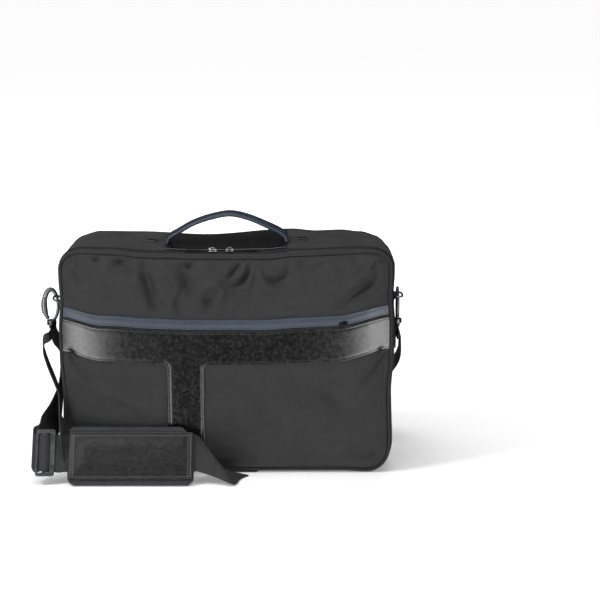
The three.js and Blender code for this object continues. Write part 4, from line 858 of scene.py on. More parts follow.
def gusset_grid(places, ys, out):
    """Points of the gusset at loop places and depths, and the way each faces."""
    x, z = outline_place(places[None, :, 0], places[None, :, 1], PIPE_PROUD, ys[:, None])
    here = np.stack([x, z], -1)
    ahead, behind = np.roll(here, -1, 1), np.roll(here, 1, 1)
    facing = np.stack([ahead[..., 1] - behind[..., 1], np.zeros(x.shape), behind[..., 0] - ahead[..., 0]], -1)
    facing = unit(facing)
    upright = 1 - np.maximum(0, -facing[..., 2]) ** 2
    most = GUSSET_BULGE + (RIGHT_BULGE - GUSSET_BULGE) * np.maximum(0, facing[..., 0]) ** 2
    bulge = most * upright * across_gusset(ys)[:, None]
    points = np.stack([x, np.broadcast_to(ys[:, None], x.shape), z], -1)
    return points + facing * (bulge + out)[..., None], facing


GUSSET_LOOP = loop_places(3.0)
GUSSET_RUN = run_along(GUSSET_LOOP)


def gusset_cloth():
    edge = HALF_DEPTH - PIPE_RADIUS - GAP
    ys = steps(-edge, edge, 3.0)
    ys = np.concatenate([ys[:1], ys, ys[-1:]])
    run, depth = np.meshgrid(GUSSET_RUN, ys)
    px = np.broadcast_to(GUSSET_LOOP[:, 0], run.shape)
    pz = np.broadcast_to(GUSSET_LOOP[:, 1], run.shape)
    upright = smooth_step(5, 40, pz)
    soft = 1 - smooth_step(edge - 10, edge, np.abs(depth))
    top = smooth_step(BAG_HEIGHT - 30, BAG_HEIGHT - 5, pz)
    on_panel = top * (np.abs(px) < PANEL_LENGTH / 2 + 8) * (depth > PANEL_FRONT - 6)
    uneven = 1.1 * noise_field(run, depth, 31.0, 60, 36) + 0.3 * noise_field(run, depth, 33.0, 16, 14)
    out = uneven * soft * upright
    out = np.where(out > 0, out * 0.45, out) * (1 - on_panel)
    from_seam = np.abs(depth - (ZIP_FRONT + ZIP_BACK) / 2) - ZIP_WIDTH / 2 - 1.2
    zip_seam = (np.abs(from_seam) < 1.6) & (pz > BAG_HEIGHT / 2)
    out = out - 0.5 * zip_seam
    out[0] = out[-1] = -CLOTH_WALL
    points, _ = gusset_grid(GUSSET_LOOP, ys, out)
    mesh = mesh_from("gusset_cloth", [grid_part(points, np.stack([run, depth], -1), wrap=True, turn=True)])
    return new_object("gusset_cloth", mesh, CLOTH, replaces=["gusset"])


gusset_cloth()


def top_patch(name, node, centre, length, low, high, step=2.5):
    """A leather piece lying on the gusset's top: its middle and length along it, and its two depths."""
    on_top = GUSSET_FINE[:, 1] > BAG_HEIGHT - 1e-6
    chosen = np.where(on_top & (np.abs(GUSSET_FINE[:, 0] - centre) < length / 2))[0]
    places = GUSSET_FINE[chosen[0] - 1:chosen[-1] + 2]
    ys = edged_steps(low, high, step)
    ys = np.concatenate([ys[:1], ys, ys[-1:]])
    run = run_along(places)
    u, v = np.meshgrid(run, ys)
    from_side = np.minimum(v - low, high - v)
    from_end = np.minimum(u - run[1], run[-2] - u)
    out = rolled(np.maximum(0, np.minimum(from_side, from_end)), LEATHER_WALL)
    out[0] = out[-1] = out[:, 0] = out[:, -1] = SKIRT_OUT
    points, _ = gusset_grid(places, ys, out)
    points = points[:, 1:-1]
    u, v = u[:, 1:-1], v[:, 1:-1]
    mesh = mesh_from(name, [grid_part(points, np.stack([u, v], -1), turn=True)])
    return new_object(name, mesh, LEATHER, replaces=[node])


GUSSET_FINE = loop_places(1.0)
top_patch("top_leather_panel", "handle_panel", 0.0, PANEL_LENGTH, PANEL_FRONT, PANEL_BACK)
tab_middle = (PANEL_FRONT + PANEL_BACK) / 2 - 4
for side_name, side in (("left", -1), ("right", 1)):
    top_patch(
        f"slot_tab_leather_{side_name}", f"slot_tab_{side_name}", side * TAB_SPREAD / 2, TAB_LENGTH,
        tab_middle - TAB_DEPTH / 2, tab_middle + TAB_DEPTH / 2, step=1.0)


def top_point(x, y, out=0.0):
    """Point on the gusset's top face."""
    place_x, place_z = outline_place(x, BAG_HEIGHT, PIPE_PROUD, y)
    y = np.broadcast_to(np.asarray(y, float), np.shape(place_x))
    rise = GUSSET_BULGE * across_gusset(y)
    return np.stack([place_x, y, place_z + rise + out], -1)


def main_zip_piece():
    """Tape round the top half of the loop, with a coil of teeth along its middle."""
    chosen = GUSSET_FINE[:, 1] > BAG_HEIGHT / 2
    places = GUSSET_FINE[chosen]
    ys = np.array([ZIP_FRONT, ZIP_FRONT + 0.3, ZIP_FRONT + 2.6, ZIP_BACK - 2.6, ZIP_BACK - 0.3, ZIP_BACK])
    level = np.array([0.02, 0.40, 0.45, 0.45, 0.40, 0.02])
    run = run_along(places)
    u, v = np.meshgrid(run, ys)
    points, facing = gusset_grid(places, ys, np.broadcast_to(level[:, None], u.shape))
    parts = [grid_part(points[:, 1:-1], np.stack([u, v], -1)[:, 1:-1], turn=True)]
    middle, _ = gusset_grid(places, np.array([(ZIP_FRONT + ZIP_BACK) / 2]), np.full((1, len(places)), 0.9))
    line = resample(np.concatenate([middle[0], facing[0]], 1)[1:-1], 0.75)
    for k, row in enumerate(line[1:-1]):
        side = -1 if k % 2 else 1
        lift = unit(row[3:6])
        start = row[:3] + np.array([0, -0.35 * side, 0])
        end = row[:3] + np.array([0, 1.35 * side, 0])
        parts.append(bead_part(start, end, lift, 0.52, sides=5))
    new_object("main_zip_chain", mesh_from("main_zip_chain", parts), TAPE, replaces=["main_zip"])


main_zip_piece()


def ribbon_part(left, right, thickness, columns):
    """Closed strip between two rows of edge points, with rounded edges. Returns its part and normals."""
    left, right = np.asarray(left, float), np.asarray(right, float)
    middle = (left + right) / 2
    across = right - left
    along = np.gradient(middle, axis=0)
    face = unit(np.cross(across, along))
    width = np.linalg.norm(across, axis=1)
    way = unit(across)
    half = thickness / 2
    flat = np.linspace(-1, 1, columns)
    arc = np.linspace(-math.pi / 2, math.pi / 2, 5)[1:-1]
    ring = [(t, 0.0, 1.0) for t in flat] + [(1.0, math.cos(a), -math.sin(a)) for a in arc]
    ring += [(t, 0.0, -1.0) for t in flat[::-1]] + [(-1.0, -math.cos(a), math.sin(a)) for a in arc]
    run = run_along(middle)
    points, places = [], []
    for t, out, lift in ring:
        inset = width / 2 - half * 0.8
        spot = middle + way * (t * inset + out * half * 0.8)[:, None] + face * (lift * half)
        points.append(spot)
        places.append(np.stack([run, t * width / 2, np.zeros(len(run))], -1))
    points = np.array(points).transpose(1, 0, 2)
    places = np.array(places).transpose(1, 0, 2)
    count = len(ring)
    faces = grid_faces(len(points), count, wrap=True)
    flat_points = points.reshape(-1, 3)
    last = (len(points) - 1) * count
    caps = []
    for base, turn in ((0, False), (last, True)):
        for k in range(columns - 1):
            quad = [base + k, base + k + 1, base + 2 * columns + 3 - 2 - k, base + 2 * columns + 3 - 1 - k]
            caps.append(quad[::-1] if turn else quad)
    return (flat_points, faces + caps, places.reshape(-1, 3)), middle, face


# Handle: a leather strip in an arch
HANDLE_ARCH = [
    (-0.5, 0), (-0.48, 0.17), (-0.41, 0.35), (-0.28, 0.66), (-0.13, 0.88), (0.03, 1), (0.18, 0.86),
    (0.32, 0.6), (0.44, 0.33), (0.49, 0.15), (0.5, 0),
]


def catmull(rows, per_span):
    """Smooth run through points, as a centripetal spline."""
    rows = np.asarray(rows, float)
    before = 2 * rows[0] - rows[1]
    after = 2 * rows[-1] - rows[-2]
    padded = np.vstack([before, rows, after])
    result = []
    counts = np.broadcast_to(np.asarray(per_span, int), (len(rows) - 1,))
    for k in range(len(rows) - 1):
        p0, p1, p2, p3 = padded[k:k + 4]
        d0, d1, d2 = (
            max(1e-4, float(((a - b) ** 2).sum()) ** 0.25) for a, b in ((p0, p1), (p1, p2), (p2, p3)))
        t1 = ((p1 - p0) / d0 - (p2 - p0) / (d0 + d1) + (p2 - p1) / d1) * d1
        t2 = ((p2 - p1) / d1 - (p3 - p1) / (d1 + d2) + (p3 - p2) / d2) * d1
        for i in range(counts[k]):
            t = i / counts[k]
            result.append(
                p1 + t1 * t + (-3 * p1 + 3 * p2 - 2 * t1 - t2) * t**2 + (2 * p1 - 2 * p2 + t1 + t2) * t**3)
    result.append(rows[-1])
    return np.array(result)


def handle_piece():
    top = top_point(0.0, HANDLE_Y)[2] + HANDLE_RISE - HANDLE_THICKNESS / 2
    arch = np.array(HANDLE_ARCH)

    def edge(y):
        feet = top_point(np.array([-HANDLE_SPAN / 2, HANDLE_SPAN / 2]), y)[:, 2]
        feet = feet + LEATHER_WALL + 2 * GAP + FOOT_ROOM
        foot = feet[0] * (0.5 - arch[:, 0]) + feet[1] * (0.5 + arch[:, 0])
        x = arch[:, 0] * (HANDLE_SPAN - HANDLE_THICKNESS)
        return catmull(np.stack([x, np.full(len(arch), y), foot + arch[:, 1] * (top - foot)], -1), 10)

    left, right = edge(HANDLE_Y - HANDLE_WIDTH / 2), edge(HANDLE_Y + HANDLE_WIDTH / 2)
    part, middle, face = ribbon_part(left, right, HANDLE_THICKNESS, columns=16)
    new_object(
        "handle_leather", mesh_from("handle_leather", [part]), SLATE, replaces=["handle"])
    rows = []
    for side in (-1, 1):
        for facing in (-1, 1):
            aside = np.array([0, side * (HANDLE_WIDTH / 2 - 2.6), 0])
            line = middle + aside + face * facing * (HANDLE_THICKNESS / 2)
            rows.append(np.concatenate([line, face * facing], 1)[2:-2])
    stitches("handle_stitches", rows, SLATE_THREAD)


handle_piece()


# Shoulder strap

UP = np.array([0, math.sin(PAD_LEAN), math.cos(PAD_LEAN)])
BACK = np.array([0, math.cos(PAD_LEAN), -math.sin(PAD_LEAN)])
PAD_X = BAG_WIDTH * PAD_CENTRE_SHARE
PAD_FOOT = np.array([0, -HALF_DEPTH - FRONT_BULGE - PAD_STAND, math.sin(PAD_LEAN) * PAD_EDGE / 2])
STRAP_UP = PAD_HEIGHT * 0.55
BUCKLE_WIDTH = sum(BUCKLE_BARS) + 2 * BUCKLE_SLOT
WEAVE = BUCKLE_THICKNESS / 2 + GAP + STRAP_THICKNESS / 2
BUCKLE_RIGHT = PAD_X - PAD_LENGTH / 2 - BUCKLE_TO_PAD
BUCKLE_LEFT = BUCKLE_RIGHT - BUCKLE_WIDTH
BARREL_TOP = -HOOK_LENGTH / 2 + 1.2
SWIVEL_TOP = BARREL_TOP - BARREL_LENGTH - GAP
BASE_TOP_BAR = SWIVEL_TOP - SWIVEL_LENGTH - BASE_WIRE + 1
BASE_BAR = BASE_TOP_BAR - 2 * BASE_WIRE - BASE_WINDOW


def on_plane(x, upward, backward):
    return np.array([x, 0, 0]) + PAD_FOOT + UP * upward + BACK * backward


def hook_origin(name):
    """Middle of a hook's oval, in bag millimetres, from the frame."""
    low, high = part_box(f"hook_{name}_base")
    spot = np.array([(low[0] + high[0]) / 2, (low[1] + high[1]) / 2, high[2]]) / MM - SHIFT
    return spot - [0, 0, SWIVEL_TOP]


HOOKS = {name: hook_origin(name) for name in ("left", "right")}
BARS = {name: spot + [0, 0, BASE_BAR] for name, spot in HOOKS.items()}


def across_row(middle, way, wide=STRAP_WIDTH):
    half = unit(way) * wide / 2
    return np.concatenate([np.asarray(middle) - half, np.asarray(middle) + half])


def swap(row):
    return np.roll(row, 3)


def strap_at(x, backward):
    return across_row(on_plane(x, STRAP_UP, backward), UP)


def smooth_rows(rows, step):
    rows = np.array(rows)
    longest = np.maximum(*(np.linalg.norm(np.diff(rows[:, k:k + 3], axis=0), axis=1) for k in (0, 3)))
    counts = np.maximum(1, np.round(longest / step).astype(int))
    return np.hstack([catmull(rows[:, :3], counts), catmull(rows[:, 3:], counts)])


def straight_rows(rows, step):
    rows = np.array(rows)
    result = []
    for a, b in zip(rows[:-1], rows[1:]):
        count = max(1, int(round(np.linalg.norm(b[:3] - a[:3]) / step)))
        result += [a + (b - a) * i / count for i in range(count)]
    return np.array(result + [rows[-1]])


def strap_rows():
    s, y_axis = STRAP_WIDTH, np.array([0, 1.0, 0])
    left_bar, right_bar = BARS["left"], BARS["right"]
    bar_turn = BASE_WIRE + 2 * GAP + STRAP_THICKNESS / 2
    behind = STRAP_THICKNESS + GAP
    tail_x = BUCKLE_LEFT + BUCKLE_BARS[0] + BUCKLE_SLOT
    sewn_tail = [
        strap_at(tail_x, behind), strap_at(BUCKLE_RIGHT, behind),
        strap_at(BUCKLE_RIGHT + 0.14 * s, behind + 0.04 * s),
    ]
    climb = [
        across_row(on_plane(BUCKLE_RIGHT, STRAP_UP, 0) + np.array(offset) * s, way)
        for offset, way in (
            ((0.3, 0.1, 0.03), (0, 0.5, 0.87)),
            ((0.2, 0.24, 0.3), (0, 0.75, 0.66)),
        )
    ]
    outer_side = [
        across_row(left_bar + np.array(offset) * s, (-0.15, 0.99, 0))
        for offset in (
            (0.31, -1.32, -1.8),
            (0.29, -1.08, -1.52),
            (0.23, -0.84, -1.26),
            (0.1, -0.56, -1.06),
            (-0.04, -0.3, -0.86),
            (-0.17, -0.1, -0.61),
            (-0.25, 0, -0.33),
            (-0.21, 0, -0.11),
            (-0.1, 0, -0.06),
        )
    ]

    def bar_wrap(bar, degrees):
        return [
            across_row(
                bar + bar_turn * np.array([math.cos(math.radians(d)), 0, math.sin(math.radians(d))]), y_axis)
            for d in degrees
        ]

    inner_side = [
        across_row(left_bar + np.array(offset) * s, way)
        for offset, way in (
            ((0.12, 0, -0.12), (0, 1, 0)),
            ((0.25, 0.05, -0.48), (-0.03, 0.97, -0.25)),
            ((0.23, 0.16, -1.01), (-0.02, 0.96, -0.27)),
            ((0.14, 0.32, -1.53), (0, 0.95, -0.33)),
            ((0.06, -0.06, -1.96), (0.17, 0.88, -0.44)),
            ((-0.03, -0.67, -2.3), (0.33, 0.64, -0.7)),
        )
    ]
    turn_back = [
        swap(across_row(on_plane(BUCKLE_LEFT + x * s, STRAP_UP + u * s, n * s), UP))
        for x, n, u in ((0.02, 0.16, 0.3), (-0.08, 0.11, 0.24), (-0.09, 0.02, 0.1))
    ]
    slot_one = BUCKLE_LEFT + BUCKLE_BARS[0] + BUCKLE_SLOT / 2
    slot_two = BUCKLE_RIGHT - BUCKLE_BARS[2] - BUCKLE_SLOT / 2
    weave_run = [
        strap_at(BUCKLE_LEFT - 2, 0), strap_at(slot_one - WEAVE, 0), strap_at(slot_one + WEAVE, -2 * WEAVE),
        strap_at(slot_two - WEAVE, -2 * WEAVE), strap_at(slot_two + WEAVE, 0), strap_at(BUCKLE_RIGHT + 2, 0),
    ]
    weave_run = [swap(row) for row in weave_run]
    pad_right = PAD_X + PAD_LENGTH / 2
    pad_run = [swap(strap_at(x, 0)) for x in (PAD_X - PAD_LENGTH / 2, PAD_X, pad_right + 1)]
    ground = STRAP_THICKNESS / 2
    way = unit([0.55, 0.835, 0])
    slant = STRAP_WIDTH / way[1]
    top_x = pad_right + 0.06 * s
    foot_x = BAG_WIDTH * 0.092

    def foot_place(y):
        x = foot_x + (y + HALF_DEPTH) * way[0] / way[1]
        return np.array([x, y, ground, x - slant, y, ground])

    def both(left, right):
        return np.concatenate([right, left])

    fold_run = [
        both(on_plane(top_x, STRAP_UP - s * 0.47, 0), on_plane(top_x, STRAP_UP + s * 0.49, 0)),
        both(on_plane(top_x + 0.5 * s, 0.22 * s, 0), on_plane(top_x + 0.02 * s, STRAP_UP + s * 0.47, 0)),
        both(
            on_plane(top_x + 0.98 * s, 0.03 * s, 0),
            on_plane(top_x + 0.06 * s, STRAP_UP + s * 0.44, 0.01 * s)),
        both(
            [foot_x - 0.42 * s, -HALF_DEPTH - 0.66 * s, ground],
            on_plane(top_x + 0.14 * s, 0.86 * s, 0.16 * s)),
        both(
            [foot_x - 0.22 * s, -HALF_DEPTH - 0.34 * s, ground],
            [foot_x - 1.22 * s, -HALF_DEPTH - 0.16 * s, 0.16 * s]),
    ]
    under = [foot_place(share * (BAG_DEPTH + 3)) for share in (-0.5, -0.2, 0.2, 0.5)]
    start = foot_place(HALF_DEPTH + 0.1 * s)
    start = (start[:3] + start[3:]) / 2
    rise = []
    for t, dy, z, direction in (
            (0.14, 0.74, 0.02, (-0.80, 0.60, 0)), (0.40, 0.98, 0.14, (-0.68, 0.73, 0)),
            (0.68, 0.98, 0.38, (-0.40, 0.92, 0)), (0.93, 0.74, 0.62, (-0.12, 0.99, 0))):
        spot = start + (np.array([right_bar[0], right_bar[1], 0]) - start) * t
        spot[1], spot[2] = HALF_DEPTH + dy * s, ground + z * (right_bar[2] - bar_turn)
        rise.append(swap(across_row(spot, direction)))
    right_wrap = [across_row(right_bar + [bar_turn, 0, -0.5 * s], y_axis)]
    right_wrap += bar_wrap(right_bar, np.arange(0, 181, 15))
    right_wrap += [across_row(right_bar + [-bar_turn, 0, -0.3 * s], y_axis)]
    right_wrap = [swap(row) for row in right_wrap]
    groups = [
        smooth_rows([*sewn_tail, *climb, *outer_side, *bar_wrap(left_bar, [180])], 3),
        np.array(bar_wrap(left_bar, np.arange(165, 14, -15))),
        smooth_rows([*bar_wrap(left_bar, [0]), *inner_side, *turn_back, weave_run[0]], 3),
        smooth_rows(straight_rows(weave_run[0:2] + weave_run[1:], 3), 3),
        straight_rows(pad_run, 4),
        smooth_rows(fold_run, 3),
        smooth_rows([*under, *rise, right_wrap[0], right_wrap[1]], 3),
        np.array(right_wrap[2:-1]),
        straight_rows(right_wrap[-2:], 3),
    ]
    rows = np.vstack(groups)
    keep = [0]
    for k in range(1, len(rows)):
        middles = (rows[k, :3] + rows[k, 3:] - rows[keep[-1], :3] - rows[keep[-1], 3:]) / 2
        if np.linalg.norm(middles) > 0.4:
            keep.append(k)
    return rows[keep]


STRAP_ROWS = strap_rows()
strap_part, *_ = ribbon_part(STRAP_ROWS[:, :3], STRAP_ROWS[:, 3:], STRAP_THICKNESS, columns=22)
new_object(
    "shoulder_strap", mesh_from("shoulder_strap", [strap_part]),
    WEBBING, replaces=["strap_webbing"])


# Pad

def pad_outline():
    """The pad's rounded outline in its plane, anticlockwise, from (length, height) corners."""
    half_long, half_high = PAD_LENGTH / 2, PAD_HEIGHT / 2
    corners = [
        ((-half_long, -half_high), 11.0), ((half_long - 7, -half_high), 4.0),
        ((half_long, -half_high + 6), 4.0),
        ((half_long, half_high - 17), 5.0), ((half_long - 16, half_high), 9.0),
        ((-half_long, half_high), 7.0),
    ]
    points = []
    count = len(corners)
    for k, (corner, radius) in enumerate(corners):
        corner = np.array(corner)
        before = unit(np.array(corners[k - 1][0]) - corner)
        after = unit(np.array(corners[(k + 1) % count][0]) - corner)
        half_angle = math.acos(float(np.clip(before @ after, -1, 1))) / 2
        reach = radius / math.tan(half_angle)
        centre = corner + unit(before + after) * radius / math.sin(half_angle)
        first, last = corner + before * reach - centre, corner + after * reach - centre
        start = math.atan2(first[1], first[0])
        sweep = (math.atan2(last[1], last[0]) - start + math.pi) % (2 * math.pi) - math.pi
        points += [
            centre + radius * np.array([math.cos(start + sweep * t), math.sin(start + sweep * t)])
            for t in np.linspace(0, 1, 7)]
    return np.array(points)


def pad_points(x, z, backward):
    """Points from the pad's middle in its plane, set backward off it."""
    across, upward = x[..., None] * np.array([1, 0, 0]), z[..., None] * UP
    return on_plane(PAD_X, PAD_HEIGHT / 2, 0) + across + upward + backward[..., None] * BACK


PAD_LINE = pad_outline()
PAD_BINDING = 9.0


def pad_piece():
    """Padded sleeve bound with webbing. Its half thickness follows the distance from the outline."""
    closed = np.vstack([PAD_LINE, PAD_LINE[:1]])
    heights = PAD_HEIGHT / 2 * np.sin(np.linspace(-math.pi / 2, math.pi / 2, 61))
    heights = np.concatenate([[heights[0] + 0.02], heights[1:-1], [heights[-1] - 0.02]])

    def limits(level):
        cuts = []
        for (x0, z0), (x1, z1) in zip(closed[:-1], closed[1:]):
            if (z0 - level) * (z1 - level) <= 0 and z0 != z1:
                cuts.append(x0 + (x1 - x0) * (level - z0) / (z1 - z0))
        return min(cuts), max(cuts)

    ends = np.array([limits(level) for level in heights])
    share = (1 - np.cos(np.linspace(0, math.pi, 90))) / 2
    share = 0.35 * share + 0.65 * np.linspace(0, 1, 90)
    x = ends[:, :1] + (ends[:, 1:] - ends[:, :1]) * share
    z = np.broadcast_to(heights[:, None], x.shape)
    inside = line_distance(x, z, closed)[0]
    thin, thick = PAD_EDGE / 2, PAD_THICKNESS / 2
    rim = thin * np.sqrt(1 - (1 - np.clip(inside / thin, 0, 1)) ** 2)
    body = (thick - thin) * smooth_step(PAD_BINDING - 1.5, PAD_BINDING + 2.5, inside)
    seam = -0.55 * np.exp(-(((inside - PAD_BINDING + 0.6) / 0.9) ** 2))
    give = 0.25 * noise_field(x, z, 41.0, 22, 18) * smooth_step(2, 12, inside)
    half = rim + body + seam * smooth_step(0, 2, inside)
    parts = []
    for facing in (-1, 1):
        lift = np.maximum(0.02, half + (give if facing < 0 else 0))
        lift[0] = lift[-1] = lift[:, 0] = lift[:, -1] = 0.0
        points = pad_points(x, z, facing * lift)
        parts.append(grid_part(points, np.stack([x, z], -1), turn=facing > 0))
    mesh = welded(mesh_from("shoulder_pad", parts))
    pad = new_object("shoulder_pad", mesh, BINDING, replaces=["strap_pad"])
    return pad


pad_piece()


def pad_leather_piece():
    half_long, half_high = PAD_LENGTH / 2 - PAD_LEATHER_INSET, PAD_LEATHER_HEIGHT / 2
    xs, zs = edged_steps(-half_long, half_long, 2.5), edged_steps(-half_high, half_high, 2.5)
    xs, zs = (np.concatenate([v[:1], v, v[-1:]]) for v in (xs, zs))
    x, z = np.meshgrid(xs, zs)
    inside = np.minimum(half_long - np.abs(x), half_high - np.abs(z))
    uneven = 0.35 * noise_field(x, z, 51.0, 38, 26) * smooth_step(4, 14, inside)
    puff = 0.9 * smooth_step(6, 22, inside) + uneven
    out = rolled(inside, LEATHER_WALL) - GAP + puff * 0.9
    out[0] = out[-1] = out[:, 0] = out[:, -1] = -1.0
    base = PAD_THICKNESS / 2 + GAP
    points = pad_points(x, z, -(base + out))
    mesh = mesh_from("pad_leather_panel", [grid_part(points, np.stack([x, z], -1))])
    new_object("pad_leather_panel", mesh, PAD_LEATHER, replaces=["pad_leather"])
    rows = []
    for x_at in (-half_long + 2.6, -half_long + 6.2, half_long - 2.6, half_long - 6.2):
        line = np.array([
            on_plane(PAD_X + x_at, PAD_HEIGHT / 2 + at, -(base + LEATHER_WALL))
            for at in (-half_high + 2, half_high - 2)])
        rows.append(np.concatenate([line, np.broadcast_to(-BACK, line.shape)], 1))
    stitches("pad_stitches", rows, PALE_THREAD)


pad_leather_piece()


# Plates: flat shapes with bevelled edges

def rounded(width, height, radius, centre=(0, 0), arc=5):
    half_w, half_h = width / 2 - radius, height / 2 - radius
    points = []
    for k, (sx, sy) in enumerate(((1, 1), (-1, 1), (-1, -1), (1, -1))):
        for t in np.linspace(0, math.pi / 2, arc):
            angle = k * math.pi / 2 + t
            points.append((
                centre[0] + sx * half_w + radius * math.cos(angle),
                centre[1] + sy * half_h + radius * math.sin(angle)))
    return points


def plate_mesh(name, outlines, thickness, bevel, matrix):
    """Flat plate from outlines, the first outside and the rest holes, carried by matrix (bag mm)."""
    curve = bpy.data.curves.new(name, "CURVE")
    curve.dimensions = "2D"
    curve.fill_mode = "BOTH"
    curve.extrude = thickness / 2 - bevel
    curve.bevel_depth = bevel
    curve.bevel_resolution = 3
    curve.offset = -bevel
    for outline in outlines:
        spline = curve.splines.new("POLY")
        spline.points.add(len(outline) - 1)
        for point, (x, y) in zip(spline.points, outline):
            point.co = (x, y, 0, 1)
        spline.use_cyclic_u = True
    holder = bpy.data.objects.new(name + "_curve", curve)
    mesh = bpy.data.meshes.new_from_object(holder)
    bpy.data.objects.remove(holder)
    bpy.data.curves.remove(curve)
    points = np.array([matrix @ v.co for v in mesh.vertices])
    for vertex, point in zip(mesh.vertices, to_world(points)):
        vertex.co = point
    mesh.name = name
    return mesh


def basis(x_axis, y_axis, z_axis, origin):
    columns = [list(x_axis), list(y_axis), list(z_axis)]
    matrix = Matrix(columns).transposed().to_4x4()
    matrix.translation = Vector(origin)
    return matrix


def smooth_by_angle(mesh, degrees=40):
    mesh.polygons.foreach_set("use_smooth", [True] * len(mesh.polygons))
    mesh.set_sharp_from_angle(angle=math.radians(degrees))
    return mesh


def buckle_piece():
    high = STRAP_WIDTH + 2
    first = BUCKLE_BARS[0] + BUCKLE_SLOT / 2
    second = BUCKLE_WIDTH - BUCKLE_BARS[2] - BUCKLE_SLOT / 2
    outlines = [
        rounded(BUCKLE_WIDTH, BUCKLE_HEIGHT, 3.2, (BUCKLE_WIDTH / 2, 0)),
        rounded(BUCKLE_SLOT, high, 1.4, (first, 0))[::-1],
        rounded(BUCKLE_SLOT, high, 1.4, (second, 0))[::-1],
    ]
    matrix = basis([1, 0, 0], UP, -BACK, on_plane(BUCKLE_LEFT, STRAP_UP, -WEAVE))
    mesh = smooth_by_angle(plate_mesh("slide_buckle", outlines, BUCKLE_THICKNESS, 0.6, matrix))
    return new_object("slide_buckle", mesh, GUNMETAL, replaces=["strap_buckle"])


buckle_piece()


# Rings, tabs and hooks

def ring_tab_piece(name, side):
    """Webbing tab folded round the ring's bar."""
    low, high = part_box(f"d_ring_tab_{name}")
    outer = (low[0] if side < 0 else high[0]) / MM - SHIFT[0]
    centre = np.array([
        outer - side * (EYE_RADIUS + TAB_WALL), (low[1] + high[1]) / 2 / MM - SHIFT[1],
        high[2] / MM - EYE_RADIUS - TAB_WALL])
    mid = EYE_RADIUS + TAB_WALL / 2
    wall_x = -mid - 0.02
    line = [(wall_x, -RING_TAB_HEIGHT + t * (RING_TAB_HEIGHT - mid) / 8) for t in range(9)]
    line += [(-mid * math.cos(a), mid * math.sin(a)) for a in np.linspace(-0.6, math.pi + 0.6, 19)]
    inner_x = wall_x + TAB_WALL + 0.2
    line += [(wall_x + TAB_WALL + 0.25, -mid - 3), (inner_x, -mid - 12), (inner_x, -RING_TAB_HEIGHT)]
    path = np.array([(centre[0] + side * x, centre[1], centre[2] + z) for x, z in line])
    half = np.array([0, RING_TAB_WIDTH / 2, 0])
    part, *_ = ribbon_part(path - half, path + half, TAB_WALL, columns=12)
    mesh = mesh_from(f"ring_tab_{name}", [part])
    new_object(f"ring_tab_{name}", mesh, BINDING, replaces=[f"d_ring_tab_{name}"])
    return centre


def ring_piece(name, side, centre, tilt):
    angle = np.linspace(0, math.pi, 41)
    x = np.abs(np.sin(angle)) ** 0.5 * RING_REACH
    y = np.sign(np.cos(angle)) * np.abs(np.cos(angle)) ** 0.5 * RING_WIDTH / 2
    bar = np.stack([np.zeros(9), np.linspace(-RING_WIDTH / 2, RING_WIDTH / 2, 11)[1:-1]], -1)
    flat = np.vstack([np.stack([x, y], -1), bar])
    path = np.stack([
        side * math.cos(tilt) * flat[:, 0], side * flat[:, 1], math.sin(tilt) * flat[:, 0]], -1) + centre
    aside = [-side * math.sin(tilt), 0, math.cos(tilt)]
    mesh = mesh_from(f"ring_{name}", [tube_part(path, RING_WIRE, 16, closed=True, aside=aside)])
    new_object(f"ring_{name}", mesh, GUNMETAL, replaces=[f"d_ring_{name}"])


RING_CENTRES = {name: ring_tab_piece(name, side) for name, side in (("left", -1), ("right", 1))}
ring_piece("left", -1, RING_CENTRES["left"], RING_TILT)
ring_piece("right", 1, RING_CENTRES["right"], 0.0)


def oval(degrees):
    angle = np.radians(degrees)
    return np.stack([
        np.cos(angle) * HOOK_WIDTH / 2, np.zeros(np.shape(angle)), np.sin(angle) * HOOK_LENGTH / 2], -1)


GATE_PIVOT_RISE = BARREL_TOP + GATE_WIRE * 0.9 + GAP
GATE_FOOT = 180 - math.degrees(math.asin(GATE_PIVOT_RISE / (HOOK_LENGTH / 2)))


GATE_TOP = 154.0
GATE_HALF = [(GATE_TOP, HOOK_BROAD), (180, GATE_BROAD), (200, GATE_BROAD), (GATE_FOOT, GATE_WIRE * 0.9)]


def nose_degrees():
    """Where the arm's nose ends, so that the gate clears it on its arc round the pivot."""
    pivot = oval(GATE_FOOT)
    reach = math.hypot(np.linalg.norm(oval(GATE_TOP) - pivot), HOOK_BROAD) + GAP
    degrees = GATE_TOP
    while degrees > 90 and np.linalg.norm(oval(degrees) - pivot) < reach:
        degrees -= 0.25
    return degrees


